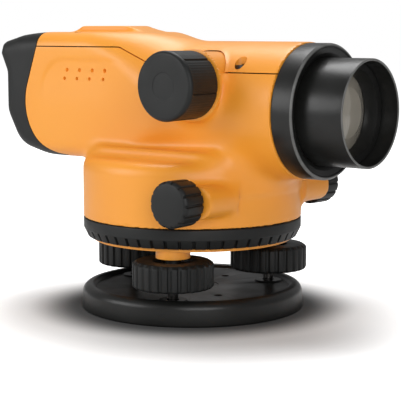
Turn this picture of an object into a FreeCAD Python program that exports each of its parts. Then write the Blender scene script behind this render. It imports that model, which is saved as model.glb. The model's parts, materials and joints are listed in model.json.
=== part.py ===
"""Automatic level: a builder's levelling instrument on a three-screw tribrach.

Frame: +Z up, +X from the eyepiece towards the objective, +Y to the far side from the
focusing knob. The origin is on the vertical axis, at the underside of the base plate.
All sizes are millimetres, and the driving ones live in the sheet called sizes.
"""
import FreeCAD, Part
import math
import os
from types import SimpleNamespace

import Sketcher

DRIVING_SIZES = {
    # base plate and its tripod thread
    "plate_radius": 56.4, "plate_height": 12.0, "plate_draft": 0.8, "rim_inner": 48.9,
    "floor_low": 6.4, "floor_top": 9.9, "plate_hub": 17.0, "thread_radius": 6.8,
    "tripod_bush_radius": 11.5, "tripod_bush_flange": 13.5, "tripod_bush_sink": 1.8,
    "spring_low": 1.0, "spring_thick": 0.6, "spring_screw_circle": 30.0,
    "spring_screw_shift": 38.0, "spring_screw_radius": 1.9, "spring_screw_head": 3.4,
    "spring_screw_depth": 3.0,
    # foot screws
    "foot_circle": 41.1, "foot_angle": -64.3, "ball_radius": 3.0, "ball_height": 5.7,
    "socket_radius": 4.0, "foot_boss_radius": 7.0, "pin_radius": 2.5, "thread_foot": 4.0,
    "foot_knob_radius": 19.7, "foot_knob_low": 16.7, "foot_knob_high": 29.6,
    "foot_flutes": 26, "foot_flute_radius": 1.15,
    # tribrach and horizontal circle
    "tribrach_radius": 50.0, "tribrach_low": 35.1, "tribrach_top": 36.3, "hub_radius": 36.0,
    "hub_top": 46.2, "lug_radius": 8.35, "lug_low": 31.0, "foot_bush_radius": 5.6,
    "circle_radius": 55.0, "circle_top": 46.35, "circle_low": 36.7, "circle_notches": 50,
    "running_fit": 0.05,
    # vertical axis, clutch and tangent drive
    "axis_radius": 10.0, "sleeve_radius": 14.0, "sleeve_low": 34.0, "sleeve_top": 65.7,
    "gear_module": 1.0, "wheel_teeth": 60, "wheel_low": 58.4, "wheel_width": 4.0,
    "tangent_height": 60.4, "tangent_forward": 36.6, "worm_pitch_radius": 6.6,
    "shaft_radius": 3.0, "tangent_knob_radius": 11.1, "tangent_knob_inner": 50.0,
    "tangent_knob_outer": 64.0, "tooth_play": 0.25,
    # housing of the telescope
    "bowl_radius": 55.0, "bowl_low": 46.65, "bowl_top": 77.0, "wall": 2.6,
    "axis_height": 101.4, "barrel_radius": 32.4, "barrel_end": 70.6, "box_half_width": 31.5,
    "web_low": 68.8, "box_low": 74.2, "box_high": 138.8, "box_corner": 9.0, "seam_rear": 130.8,
    "seam_front": 119.5, "ledge_top": 82.0, "ledge_half_width": 36.5,
    "loft_rear": -29.5, "loft_front": 3.0, "joint_forward": -78.9, "joint_lean": 20.1, "joint_curve": 27.0,
    "rear_face": -104.9, "brow_face": -109.6, "rear_corner": 8.0, "ridge_top": 141.2,
    "ridge_half_width": 9.0,
    # screws of the covers
    "screw_head_radius": 2.6, "screw_radius": 1.5, "screw_sink_play": 0.3, "post_radius": 4.0,
    "front_screw_forward": 47.5, "front_screw_aside": 23.0, "front_screw_seat": 121.0,
    "rear_screw_forward": -56.0, "rear_screw_aside": 22.0, "rear_screw_seat": 134.0,
    # focusing
    "focus_forward": 28.6, "focus_height": 113.7, "focus_knob_radius": 16.3,
    "focus_knob_inner": 36.2, "focus_knob_outer": 56.8, "pinion_module": 0.6,
    "pinion_teeth": 8, "tube_bore": 16.0, "tube_seat_height": 76.5,
    "boss_rear": 12.0, "boss_front": 41.5, "boss_low": 98.0, "boss_high": 129.3,
    "boss_corner": 12.5, "boss_face": 35.8, "boss_collar_radius": 17.6, "boss_collar_thick": 1.4,
    # objective
    "collar_radius": 31.9, "collar_front": 81.9, "hood_radius": 25.2, "hood_front": 104.5,
    "hood_wall": 1.2, "lens_radius": 18.5, "lens_joint": 86.0, "cell_radius": 21.0,
    "tube_front_radius": 23.0, "tube_front": 93.0, "retainer_front": 95.5,
    # eyepiece
    "eyepiece_radius": 14.0, "eyepiece_end": -114.0,
    # compensator
    "pendulum_forward": -32.0, "suspension_height": 124.0,
    # circular bubble
    "bubble_forward": -37.0, "bubble_side": 46.0, "bubble_radius": 12.0,
    "bubble_low": 112.0, "bubble_high": 127.0,
}

doc = FreeCAD.newDocument("automatic_level")
sheet = doc.addObject("Spreadsheet::Sheet", "sizes")
nodes = []


class Size:
    """A length worked out from the sheet, with the expression that gives it."""

    def __init__(self, value, text):
        self.value = value
        self.text = text

    def __add__(self, other):
        other = as_size(other)
        return Size(self.value + other.value, f"({self.text} + {other.text})")

    def __sub__(self, other):
        other = as_size(other)
        return Size(self.value - other.value, f"({self.text} - {other.text})")

    def __mul__(self, other):
        other = as_size(other)
        return Size(self.value * other.value, f"({self.text} * {other.text})")

    def __truediv__(self, other):
        other = as_size(other)
        return Size(self.value / other.value, f"({self.text} / {other.text})")

    def __neg__(self):
        return Size(-self.value, f"(-1 * {self.text})")

    def __radd__(self, other):
        return as_size(other) + self

    def __rsub__(self, other):
        return as_size(other) - self

    def __rmul__(self, other):
        return as_size(other) * self


def as_size(item):
    """Turn a plain number into a Size."""
    if isinstance(item, Size):
        return item
    return Size(float(item), f"({float(item)})")


def fill_sheet():
    """Write the driving sizes into the sheet and return them as named Sizes."""
    named = {}
    for row, (name, value) in enumerate(DRIVING_SIZES.items(), start=1):
        sheet.set(f"A{row}", name)
        sheet.set(f"B{row}", str(value))
        sheet.setAlias(f"B{row}", name)
        named[name] = Size(float(value), f"sizes.{name}")
    doc.recompute()
    return SimpleNamespace(**named)


dim = fill_sheet()

ALONG = {
    "x": FreeCAD.Rotation(FreeCAD.Vector(0, 1, 0), 90),
    "-x": FreeCAD.Rotation(FreeCAD.Vector(0, 1, 0), -90),
    "y": FreeCAD.Rotation(FreeCAD.Vector(1, 0, 0), -90),
    "-y": FreeCAD.Rotation(FreeCAD.Vector(1, 0, 0), 90),
    "z": FreeCAD.Rotation(),
}


def bind(item, path, size):
    """Tie one property of an object to its expression."""
    item.setExpression(path, as_size(size).text)


def place(item, at=(0, 0, 0), along="z"):
    """Put an object's own origin at a point, with its own Z along one of the row's axes."""
    sizes = [as_size(value) for value in at]
    item.Placement = FreeCAD.Placement(FreeCAD.Vector(*[size.value for size in sizes]), ALONG[along])
    for letter, size in zip("xyz", sizes):
        bind(item, f"Placement.Base.{letter}", size)
    return item


def node(item, name):
    """Make an object a sub-part of the level."""
    item.Label = name
    nodes.append(item)
    return item


def plane_of(body, role):
    """One of a body's own origin planes."""
    return next(feature for feature in body.Origin.OriginFeatures if feature.Role == role)


def corner_arc(before, corner, after, radius):
    """Centre, start and end of the arc that rounds a corner."""
    back = (before - corner).normalize()
    ahead = (after - corner).normalize()
    half = math.acos(max(-1.0, min(1.0, back.dot(ahead)))) / 2
    reach = radius / math.tan(half)
    centre = corner + (back + ahead).normalize() * (radius / math.sin(half))
    return centre, corner + back * reach, corner + ahead * reach


def add_outline(sketch, corners):
    """Draw a closed outline whose corners are (across, up) or (across, up, rounding)."""
    points = []
    for corner in corners:
        across, up = as_size(corner[0]), as_size(corner[1])
        points.append(FreeCAD.Vector(across.value, up.value, 0))
    count = len(corners)
    starts = list(points)
    ends = list(points)
    arcs = {}
    for index, corner in enumerate(corners):
        if len(corner) == 3:
            radius = as_size(corner[2]).value
            arcs[index] = corner_arc(points[index - 1], points[index], points[(index + 1) % count], radius)
            ends[index] = arcs[index][1]
            starts[index] = arcs[index][2]
    lines = [
        sketch.addGeometry(Part.LineSegment(starts[index], ends[(index + 1) % count]), False)
        for index in range(count)
    ]
    for index, corner in enumerate(corners):
        before = lines[index - 1]
        after = lines[index]
        if index in arcs:
            mark, mark_point = add_rounding(sketch, points[index], arcs[index], before, after, corner[2])
        else:
            sketch.addConstraint(Sketcher.Constraint("Coincident", before, 2, after, 1))
            mark, mark_point = after, 1
        pin_point(sketch, mark, mark_point, "DistanceX", -2, corner[0])
        pin_point(sketch, mark, mark_point, "DistanceY", -1, corner[1])


def add_rounding(sketch, corner, arc, before, after, rounding):
    """Round one corner, and keep the sharp corner as a construction point."""
    centre, first, last = arc
    radius = as_size(rounding).value
    middle = centre + (corner - centre).normalize() * radius
    curve = sketch.addGeometry(Part.Arc(first, middle, last), False)
    start_at_first = sketch.getPoint(curve, 1).isEqual(first, 1e-6)
    near, far = (1, 2) if start_at_first else (2, 1)
    sketch.addConstraint(Sketcher.Constraint("Tangent", before, 2, curve, near))
    sketch.addConstraint(Sketcher.Constraint("Tangent", curve, far, after, 1))
    mark = sketch.addGeometry(Part.Point(corner), True)
    sketch.addConstraint(Sketcher.Constraint("PointOnObject", mark, 1, before))
    sketch.addConstraint(Sketcher.Constraint("PointOnObject", mark, 1, after))
    number = sketch.addConstraint(Sketcher.Constraint("Radius", curve, radius))
    bind(sketch, f"Constraints[{number}]", rounding)
    return mark, 1


def pin_point(sketch, line, point, kind, axis, size):
    """Hold one coordinate of a point: on the axis where it is zero, at its distance elsewhere."""
    size = as_size(size)
    if size.value == 0:
        sketch.addConstraint(Sketcher.Constraint("PointOnObject", line, point, axis))
        return
    number = sketch.addConstraint(Sketcher.Constraint(kind, -1, 1, line, point, size.value))
    bind(sketch, f"Constraints[{number}]", size)


def new_sketch(body, plane, offset=0):
    """A sketch on one of the body's own planes, or parallel to it."""
    sketch = body.newObject("Sketcher::SketchObject", f"{body.Name}_sketch")
    sketch.AttachmentSupport = [(plane_of(body, plane), "")]
    sketch.MapMode = "FlatFace"
    bind(sketch, "AttachmentOffset.Base.z", offset)
    return sketch


def turned(name, corners):
    """A body turned about its own Z axis from (radius, height) corners."""
    body = doc.addObject("PartDesign::Body", name)
    sketch = new_sketch(body, "XZ_Plane")
    add_outline(sketch, corners)
    turn = body.newObject("PartDesign::Revolution", f"{name}_turn")
    turn.Profile = sketch
    turn.ReferenceAxis = (sketch, ["V_Axis"])
    turn.Angle = 360
    body.Tip = turn
    return body


def padded(name, plane, corners, length, offset=0):
    """A body padded from an outline, half its length to each side of the plane plus offset."""
    body = doc.addObject("PartDesign::Body", name)
    sketch = new_sketch(body, plane, offset)
    add_outline(sketch, corners)
    pad = body.newObject("PartDesign::Pad", f"{name}_pad")
    pad.Profile = sketch
    pad.SideType = "Symmetric"
    bind(pad, "Length", length)
    body.Tip = pad
    return body


def lofted(name, sections):
    """A body through rounded rectangles: (forward, half width, low, high, corner radius)."""
    body = doc.addObject("PartDesign::Body", name)
    sketches = []
    for forward, half, low, high, corner in sections:
        sketch = new_sketch(body, "YZ_Plane", forward)
        add_outline(sketch, boxed_outline(-half, half, low, high, corner))
        sketches.append(sketch)
    loft = body.newObject("PartDesign::AdditiveLoft", f"{name}_loft")
    loft.Profile = sketches[0]
    loft.Sections = sketches[1:]
    loft.Ruled = True
    body.Tip = loft
    return body


def ring_cut(body, plane, corners, count):
    """Cut one outline right through a turned body and repeat it round the body's Z axis."""
    sketch = new_sketch(body, plane)
    add_outline(sketch, corners)
    pocket = body.newObject("PartDesign::Pocket", f"{body.Name}_pocket")
    pocket.Profile = sketch
    pocket.Type = "ThroughAll"
    pocket.SideType = "Symmetric"
    pattern = body.newObject("PartDesign::PolarPattern", f"{body.Name}_ring")
    pattern.Originals = [pocket]
    pattern.Axis = (plane_of(body, "Z_Axis"), [""])
    pattern.Angle = 360
    pattern.Occurrences = round(as_size(count).value)
    bind(pattern, "Occurrences", count)
    body.Tip = pattern
    return body


def rod(name, radius, length, at=(0, 0, 0), along="z"):
    """A plain cylinder that starts at a point."""
    item = doc.addObject("Part::Cylinder", name)
    bind(item, "Radius", radius)
    bind(item, "Height", length)
    return place(item, at, along)


def rod_between(name, radius, low, high, across, along="z"):
    """A cylinder from one height to another along an axis; across gives the other two places."""
    low, high = as_size(low), as_size(high)
    at = {"x": (low, *across), "y": (across[0], low, across[1]), "z": (*across, low)}[along]
    return rod(name, radius, high - low, at, along)


def block(name, x_range, y_range, z_range):
    """A box between two values on each axis."""
    item = doc.addObject("Part::Box", name)
    for path, (low, high) in zip(("Length", "Width", "Height"), (x_range, y_range, z_range)):
        bind(item, path, as_size(high) - as_size(low))
    return place(item, (x_range[0], y_range[0], z_range[0]))


def fuse(name, items):
    """Join objects into one."""
    item = doc.addObject("Part::MultiFuse", name)
    item.Shapes = items
    return item


def cut(name, base, tools):
    """Take one or more objects away from another."""
    item = doc.addObject("Part::Cut", name)
    item.Base = base
    item.Tool = tools[0] if len(tools) == 1 else fuse(f"{name}_tools", tools)
    return item


def common(name, items):
    """What objects share."""
    item = doc.addObject("Part::MultiCommon", name)
    item.Shapes = items
    return item


def group(name, items):
    """Separate solids that make one sub-part."""
    item = doc.addObject("Part::Compound", name)
    item.Links = items
    return item


def foot_place(index, circle=None, shift=0.0):
    """Place of one foot screw, or of a point between two of them."""
    circle = dim.foot_circle if circle is None else as_size(circle)
    heading = dim.foot_angle + 120 * index + shift
    angle = f"({heading.text} * 1 deg)"
    turn = math.radians(heading.value)
    across = Size(circle.value * math.cos(turn), f"({circle.text} * cos({angle}))")
    aside = Size(circle.value * math.sin(turn), f"({circle.text} * sin({angle}))")
    return across, aside


def spring_screw_place(index):
    """Place of one of the screws that hold the spring plate."""
    return foot_place(index, dim.spring_screw_circle, dim.spring_screw_shift)


FEET = range(3)


# ---------------------------------------------------------------- base

def make_base_plate():
    seat = dim.floor_top - dim.tripod_bush_sink
    form = turned("plate_form", [
        (dim.tripod_bush_radius, 0), (dim.plate_hub, 0), (dim.plate_hub, dim.floor_low),
        (dim.rim_inner, dim.floor_low), (dim.rim_inner, 0), (dim.plate_radius, 0, 0.8),
        (dim.plate_radius - dim.plate_draft, dim.plate_height, 4.2),
        (dim.rim_inner + 1.2, dim.plate_height, 1.6), (dim.rim_inner, dim.floor_top),
        (dim.tripod_bush_flange, dim.floor_top), (dim.tripod_bush_flange, seat),
        (dim.tripod_bush_radius, seat),
    ])
    low = dim.spring_low + dim.spring_thick
    boss_top = dim.floor_top + 0.7
    bosses = [
        rod_between(f"plate_boss_{i}", dim.foot_boss_radius, low, boss_top, foot_place(i))
        for i in FEET
    ]
    sockets = [
        rod_between(f"plate_socket_{i}", dim.socket_radius, 0, dim.ball_height + 3.2, foot_place(i))
        for i in FEET
    ]
    neck = dim.pin_radius + 0.6
    necks = [rod_between(f"plate_neck_{i}", neck, 0, dim.plate_height, foot_place(i)) for i in FEET]
    taps = [
        rod_between(f"plate_tap_{i}", dim.spring_screw_radius, 0, dim.plate_height, spring_screw_place(i))
        for i in FEET
    ]
    body = fuse("plate_body", [form, *bosses])
    node(cut("plate_cut", body, [*sockets, *necks, *taps]), "base_plate")


def make_tripod_bush():
    seat = dim.floor_top - dim.tripod_bush_sink
    top = dim.floor_top - 0.3
    node(turned("tripod_bush_body", [
        (dim.thread_radius, 0, 0.2), (dim.tripod_bush_radius, 0), (dim.tripod_bush_radius, seat),
        (dim.tripod_bush_flange, seat), (dim.tripod_bush_flange, top), (dim.thread_radius, top),
    ]), "tripod_bush")


def make_spring_plate():
    low = dim.spring_low
    high = dim.spring_low + dim.spring_thick
    edge_gap = 0.5
    disc = turned("spring_disc", [
        (dim.plate_hub + edge_gap, low), (dim.rim_inner - edge_gap, low),
        (dim.rim_inner - edge_gap, high), (dim.plate_hub + edge_gap, high),
    ])
    windows = [rod_between(f"spring_window_{i}", 8, 0, 3, foot_place(i, 43.5, 60)) for i in FEET]
    radius = dim.spring_screw_radius
    holes = [rod_between(f"spring_hole_{i}", radius, 0, 3, spring_screw_place(i)) for i in FEET]
    node(cut("spring_cut", disc, [*windows, *holes]), "spring_plate")
    tip = dim.floor_top - dim.spring_screw_depth
    screws = []
    for i in FEET:
        spot = spring_screw_place(i)
        head = rod_between(f"spring_head_{i}", dim.spring_screw_head, 0.1, low, spot)
        shank = rod_between(f"spring_shank_{i}", radius, low, tip, spot)
        screws.append(fuse(f"spring_screw_{i}", [head, shank]))
    node(group("spring_screw_group", screws), "spring_plate_screws")


# ---------------------------------------------------------------- foot screws

def make_foot(i):
    number = i + 1
    x, y = foot_place(i)
    pad_low = dim.spring_low + dim.spring_thick + 0.3
    node(rod_between(f"pad_{i}", 2.6, pad_low, pad_low + 0.5, (x, y)), f"foot_pad_{number}")

    neck = dim.ball_radius - 0.8
    pin = turned(f"pin_{i}", [
        (0, -dim.ball_radius), (dim.ball_radius, -dim.ball_radius, 2.9),
        (dim.ball_radius, neck, 0.7), (2.0, neck), (2.0, 5.2), (dim.pin_radius, 5.6),
        (dim.pin_radius, 28), (0, 28),
    ])
    node(place(pin, (x, y, dim.ball_height)), f"foot_pin_{number}")

    bore = dim.pin_radius + dim.running_fit
    low = dim.foot_knob_low
    screw = turned(f"screw_{i}", [
        (bore, 0.6), (7.4, 0.6), (7.4, 3.0), (dim.thread_foot, 3.0),
        (dim.thread_foot, 39.8 - low), (0, 39.8 - low), (0, 18.2), (bore, 18.2),
    ])
    node(place(screw, (x, y, low)), f"foot_screw_{number}")

    height = dim.foot_knob_high - dim.foot_knob_low
    outer = dim.foot_knob_radius
    knob = turned(f"knob_{i}", [
        (7.4, 0, 0.2), (outer, 0, 0.8), (outer, height - 1.4), (outer - 1.7, height),
        (dim.lug_radius + 1.4, height, 0.5), (dim.lug_radius + 1.0, height - 2.0),
        (dim.thread_foot, height - 2.0), (dim.thread_foot, 3.0), (7.4, 3.0),
    ])
    flute = dim.foot_flute_radius
    ring_cut(knob, "XY_Plane", [
        (outer - 1.0, -(flute * 0.55), 0.2), (outer + 1.0, -flute), (outer + 1.0, flute),
        (outer - 1.0, flute * 0.55, 0.2),
    ], dim.foot_flutes)
    node(place(knob, (x, y, low)), f"foot_knob_{number}")


# ---------------------------------------------------------------- tribrach

def make_tribrach():
    top = dim.tribrach_top
    plate = turned("tribrach_form", [
        (dim.sleeve_radius, dim.lug_low), (20, dim.lug_low, 1), (23, 33.6),
        (dim.tribrach_radius - 4, dim.tribrach_low - 0.2), (dim.tribrach_radius, dim.tribrach_low),
        (dim.tribrach_radius, top), (dim.hub_radius, top), (dim.hub_radius, dim.hub_top, 0.4),
        (dim.hub_radius - 3, dim.hub_top), (dim.hub_radius - 3, top + 1.7), (19, top + 1.7),
        (19, 46.5), (dim.sleeve_radius, 46.5),
    ])
    lugs = [rod_between(f"lug_{i}", dim.lug_radius, dim.lug_low, top, foot_place(i)) for i in FEET]
    bores = [
        rod_between(f"lug_bore_{i}", dim.foot_bush_radius, dim.lug_low - 1, 42.5, foot_place(i))
        for i in FEET
    ]
    body = fuse("tribrach_body", [plate, *lugs])
    node(cut("tribrach_cut", body, bores), "tribrach_plate")
    bushes = []
    for i in FEET:
        bush = turned(f"foot_bush_{i}", [
            (dim.thread_foot + dim.running_fit, dim.lug_low + 0.2), (dim.foot_bush_radius, dim.lug_low + 0.2),
            (dim.foot_bush_radius, 42.5), (dim.thread_foot + dim.running_fit, 42.5),
        ])
        bushes.append(place(bush, (*foot_place(i), 0)))
    node(group("foot_bush_group", bushes), "foot_screw_bushes")


def make_circle():
    low = dim.circle_low
    top = dim.circle_top
    edge = dim.circle_radius
    ring = turned("circle_ring", [
        (dim.hub_radius + dim.running_fit, 43.9), (47.2, 43.9), (47.2, low), (edge - 2.2, low, 0.5),
        (edge, low + 4.6), (edge, top, 0.4), (dim.hub_radius + dim.running_fit, top),
    ])
    groove = new_sketch(ring, "YZ_Plane", edge)
    add_outline(groove, [(-0.65, low - 1), (0.65, low - 1), (0.65, low + 4.0), (-0.65, low + 4.0)])
    pocket = ring.newObject("PartDesign::Pocket", "circle_notch")
    pocket.Profile = groove
    bind(pocket, "Length", 3.0)
    pattern = ring.newObject("PartDesign::PolarPattern", "circle_notches")
    pattern.Originals = [pocket]
    pattern.Axis = (plane_of(ring, "Z_Axis"), [""])
    pattern.Angle = 360
    bind(pattern, "Occurrences", dim.circle_notches)
    ring.Tip = pattern
    node(ring, "horizontal_circle")


# ---------------------------------------------------------------- vertical axis and tangent drive

def make_vertical_axis():
    bore = dim.axis_radius + dim.running_fit
    node(turned("sleeve_body", [
        (bore, dim.sleeve_low), (dim.sleeve_radius, dim.sleeve_low), (dim.sleeve_radius, 46.5),
        (18, 46.5), (18, 56.5), (dim.sleeve_radius, 56.5), (dim.sleeve_radius, dim.sleeve_top, 0.4),
        (bore, dim.sleeve_top),
    ]), "axis_sleeve")
    node(turned("spindle_body", [
        (0, 31.0), (dim.axis_radius, 31.0, 0.5), (dim.axis_radius, dim.sleeve_top + 0.3),
        (20, dim.sleeve_top + 0.3), (20, dim.web_low), (0, dim.web_low),
    ]), "axis_spindle")
    node(turned("spindle_nut_body", [
        (dim.axis_radius, 31.2), (12.6, 31.2, 0.4), (12.6, 33.7), (dim.axis_radius, 33.7),
    ]), "spindle_nut")
    node(turned("clutch_body", [
        (dim.sleeve_radius + 0.2, 56.5), (19, 56.5), (19, 57.2), (dim.sleeve_radius + 0.2, 57.2),
    ]), "clutch_spring")


def make_worm_wheel():
    module = dim.gear_module
    pitch = module * dim.wheel_teeth / 2
    low = dim.wheel_low
    high = dim.wheel_low + dim.wheel_width
    bore = dim.sleeve_radius + dim.running_fit
    wheel = turned("wheel_body", [
        (bore, low - 1), (20, low - 1), (20, low), (pitch + module, low), (pitch + module, high),
        (20, high), (20, high + 1), (bore, high + 1),
    ])
    play = dim.tooth_play
    root_half = module * 0.33 + play / 2
    tip_half = module * 1.24 + play / 2
    ring_cut(wheel, "XY_Plane", [
        (pitch - module * 1.3, -root_half), (pitch + module * 1.3, -tip_half),
        (pitch + module * 1.3, tip_half), (pitch - module * 1.3, root_half),
    ], dim.wheel_teeth)
    node(wheel, "worm_wheel")


def make_tangent_screw():
    """Worm shaft along Y; its thread's middle turn meets a gap of the wheel at rest."""
    module = dim.gear_module
    pitch = dim.worm_pitch_radius
    core = pitch - module * 1.3
    reach = dim.tangent_knob_outer - 4
    half = 9.0
    body = turned("worm_body", [
        (0, -reach), (dim.shaft_radius, -reach), (dim.shaft_radius, -half - 2), (core, -half - 1),
        (core, half + 1), (dim.shaft_radius, half + 2), (dim.shaft_radius, reach), (0, reach),
    ])
    play = dim.tooth_play
    turns = 4
    lead = module * math.pi
    drop = lead * turns / 2
    root = module * 1.22 - play / 2
    tip = module * 0.46 - play / 2
    profile = new_sketch(body, "XZ_Plane")
    add_outline(profile, [
        (-core + 0.2, -drop - root), (-core + 0.2, -drop + root),
        (-pitch - module * 0.9, -drop + tip), (-pitch - module * 0.9, -drop - tip),
    ])
    thread = body.newObject("PartDesign::AdditiveHelix", "worm_thread")
    thread.Profile = profile
    thread.ReferenceAxis = (profile, ["V_Axis"])
    thread.Mode = "pitch-turns-angle"
    thread.Turns = turns
    bind(thread, "Pitch", lead)
    thread.LeftHanded = False
    body.Tip = thread
    node(place(body, (dim.tangent_forward, 0, dim.tangent_height), "y"), "tangent_worm")

    bushes = []
    for side, along in ((-1, "-y"), (1, "y")):
        bush = turned(f"tangent_bush_{'near' if side < 0 else 'far'}", [
            (dim.shaft_radius + dim.running_fit, 38), (6, 38), (6, dim.tangent_knob_inner - 0.6),
            (dim.shaft_radius + dim.running_fit, dim.tangent_knob_inner - 0.6),
        ])
        bushes.append(place(bush, (dim.tangent_forward, 0, dim.tangent_height), along))
        knob = make_tangent_knob("near" if side < 0 else "far")
        place(knob, (dim.tangent_forward, dim.tangent_knob_inner * side, dim.tangent_height), along)
    node(group("tangent_bush_group", bushes), "tangent_bushes")


def make_tangent_knob(side):
    """One of the two knobs at the ends of the worm shaft."""
    length = dim.tangent_knob_outer - dim.tangent_knob_inner
    outer = dim.tangent_knob_radius
    knob = turned(f"tangent_knob_{side}_body", [
        (dim.shaft_radius, 0), (outer - 0.3, 0, 0.6), (outer, length, 1.6), (0, length),
        (0, length - 4), (dim.shaft_radius, length - 4),
    ])
    ring_cut(knob, "XY_Plane", [
        (outer - 0.7, -0.5), (outer + 1, -0.6), (outer + 1, 0.6), (outer - 0.7, 0.5),
    ], 14)
    return node(knob, f"tangent_knob_{side}")


# ---------------------------------------------------------------- housing

def body_sections(inset):
    """Sections of the telescope's housing, drawn in from the outside by a wall or by nothing."""
    half = dim.box_half_width - inset
    barrel = dim.barrel_radius - inset
    corner = dim.box_corner - inset
    low = dim.box_low + inset
    high = dim.box_high - inset
    round_low = dim.axis_height - barrel
    round_high = dim.axis_height + barrel
    end = dim.barrel_end
    return [
        (-95, half, low, high, corner), (dim.loft_rear, half, low, high, corner),
        (dim.loft_front, barrel, round_low, round_high, barrel - 0.4),
        (end, barrel, round_low, round_high, barrel - 0.4),
    ]


def boxed_outline(left, right, low, high, rounding):
    """Corners of a rounded rectangle."""
    return [(left, low, rounding), (right, low, rounding), (right, high, rounding), (left, high, rounding)]


def front_region(name):
    """All that lies ahead of the joint with the rear cover: a slanting line that ends in a curve."""
    low = dim.box_low + 0.8
    curve = padded(f"{name}_curve", "XZ_Plane", [
        (-60, low), (-60, 160), (dim.joint_forward, 160), (dim.joint_forward, dim.seam_rear),
        (dim.joint_forward - dim.joint_lean, low, dim.joint_curve),
    ], 160)
    ahead = block(f"{name}_ahead", (-62, 130), (-80, 80), (0, 160))
    return fuse(name, [curve, ahead])


def above_seam(name):
    """All that lies above the parting line between lower housing and top cover."""
    return padded(name, "XZ_Plane", [
        (-130, dim.seam_rear), (-24, dim.seam_rear, 8), (2.5, dim.seam_front, 8), (100, dim.seam_front),
        (100, 160), (-130, 160),
    ], 160)


def focus_boss(name):
    """Rounded pad on the near side that carries the focusing knob, with a round collar on its face."""
    outline = boxed_outline(dim.boss_rear, dim.boss_front, dim.boss_low, dim.boss_high, dim.boss_corner)
    length = 16
    pad = padded(f"{name}_pad", "XZ_Plane", outline, length, dim.boss_face - length / 2)
    collar = rod(f"{name}_collar", dim.boss_collar_radius, dim.boss_collar_thick,
                 (dim.focus_forward, -dim.boss_face, dim.focus_height), "y")
    return fuse(name, [pad, collar])


def cover_screw_places():
    """Forward place, side place and seat height of each screw of the top cover."""
    rows = (
        (dim.front_screw_forward, dim.front_screw_aside, dim.front_screw_seat),
        (dim.rear_screw_forward, dim.rear_screw_aside, dim.rear_screw_seat),
    )
    return [(forward, side * aside, seat) for forward, aside, seat in rows for side in (-1, 1)]


def cover_posts(name, radius, low, high):
    """Upright rods at the places of the top cover's screws."""
    posts = []
    for number, (forward, aside, _) in enumerate(cover_screw_places()):
        posts.append(rod_between(f"{name}_{number}", radius, low, high, (forward, aside)))
    return posts


def make_lower_housing():
    outside = shell_copy("body_outside", 0)
    inside = shell_copy("body_inside", dim.wall)
    bowl = turned("bowl_outside", [
        (37, dim.bowl_low), (dim.bowl_radius, dim.bowl_low, 0.4), (dim.bowl_radius, dim.bowl_top, 3.6),
        (0, dim.bowl_top), (0, dim.web_low), (37, dim.web_low),
    ])
    bowl_inside = turned("bowl_inside", [
        (24, 49), (dim.bowl_radius - dim.wall, 49), (dim.bowl_radius - dim.wall, 70, 2), (24, 70),
    ])
    ledge_block = padded("ledge_block", "YZ_Plane", [
        (-dim.ledge_half_width, 70), (dim.ledge_half_width, 70), (dim.ledge_half_width, dim.ledge_top, 3.5),
        (-dim.ledge_half_width, dim.ledge_top, 3.5),
    ], 110)
    ledge_round = rod("ledge_round", dim.bowl_radius - 3.5, 20, (1.5, 0, 69), "z")
    ledge = common("ledge", [ledge_block, ledge_round])
    bosses = []
    for side in (-1, 1):
        start, end = (-49.4, -28) if side < 0 else (28, 49.4)
        low, high = dim.tangent_height - 7.6, dim.tangent_height + 7.6
        name = f"tangent_boss_{'near' if side < 0 else 'far'}"
        boss = padded(name, "XZ_Plane", boxed_outline(dim.tangent_forward - 9, 50.4, low, high, 7.4),
                      21.4, -(start + end) / 2)
        bosses.append(boss)
    shell = fuse("housing_shell", [outside, bowl, ledge, *bosses, focus_boss("focus_boss_form")])

    drive_bore = rod("drive_bore", 6, 110, (dim.tangent_forward, -55, dim.tangent_height), "y")
    focus_bore = rod("focus_bore", 6.5, 30, (dim.focus_forward, -40, dim.focus_height), "y")
    hollow = cut("housing_hollow", shell, [
        inside, bowl_inside, drive_bore, focus_bore, above_seam_but_boss("housing_top_cut"),
        block("housing_behind", (-130, -62), (-80, 80), (60, 160)),
        *cover_posts("housing_wall_tap", dim.screw_radius, 108, 140),
    ])
    behind = common("housing_rear_part", [
        cut("housing_rear_shell", shell_copy("rear_shell_outside", 0), [
            shell_copy("rear_shell_inside", dim.wall), above_seam("rear_top_cut"),
            block("rear_ahead_cut", (-62, 130), (-80, 80), (0, 160)),
        ]),
        front_region("housing_front_region"),
    ])
    across = (dim.rear_screw_forward - 1.5, dim.rear_screw_forward + 1.5)
    reach = dim.box_half_width - 1.5
    aside = dim.rear_screw_aside
    ribs = [
        block("housing_rib_near", across, (-reach, -aside), (100, dim.seam_rear)),
        block("housing_rib_far", across, (aside, reach), (100, dim.seam_rear)),
    ]
    posts = common("housing_posts", [
        fuse("housing_post_set", [*cover_posts("housing_post", dim.post_radius, 100, dim.seam_rear), *ribs]),
        cut("housing_post_space", shell_copy("post_outside", 1.0), [above_seam("post_top_cut")]),
    ])
    taps = cover_posts("housing_tap", dim.screw_radius, 108, 140)
    tube_seat = block("tube_seat", (-5, 5), (-10, 10), (70, dim.tube_seat_height))
    solids = [hollow, behind, tube_seat, cut("housing_tapped", posts, taps)]
    node(fuse("housing_body", solids), "lower_housing")


def shell_copy(name, inset):
    """The telescope housing's outside, drawn in by an inset."""
    return lofted(name, body_sections(inset))


def above_seam_but_boss(name):
    """The space above the parting line, less the pad round the focusing knob."""
    return cut(name, above_seam(f"{name}_all"), [focus_boss(f"{name}_boss")])


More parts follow.
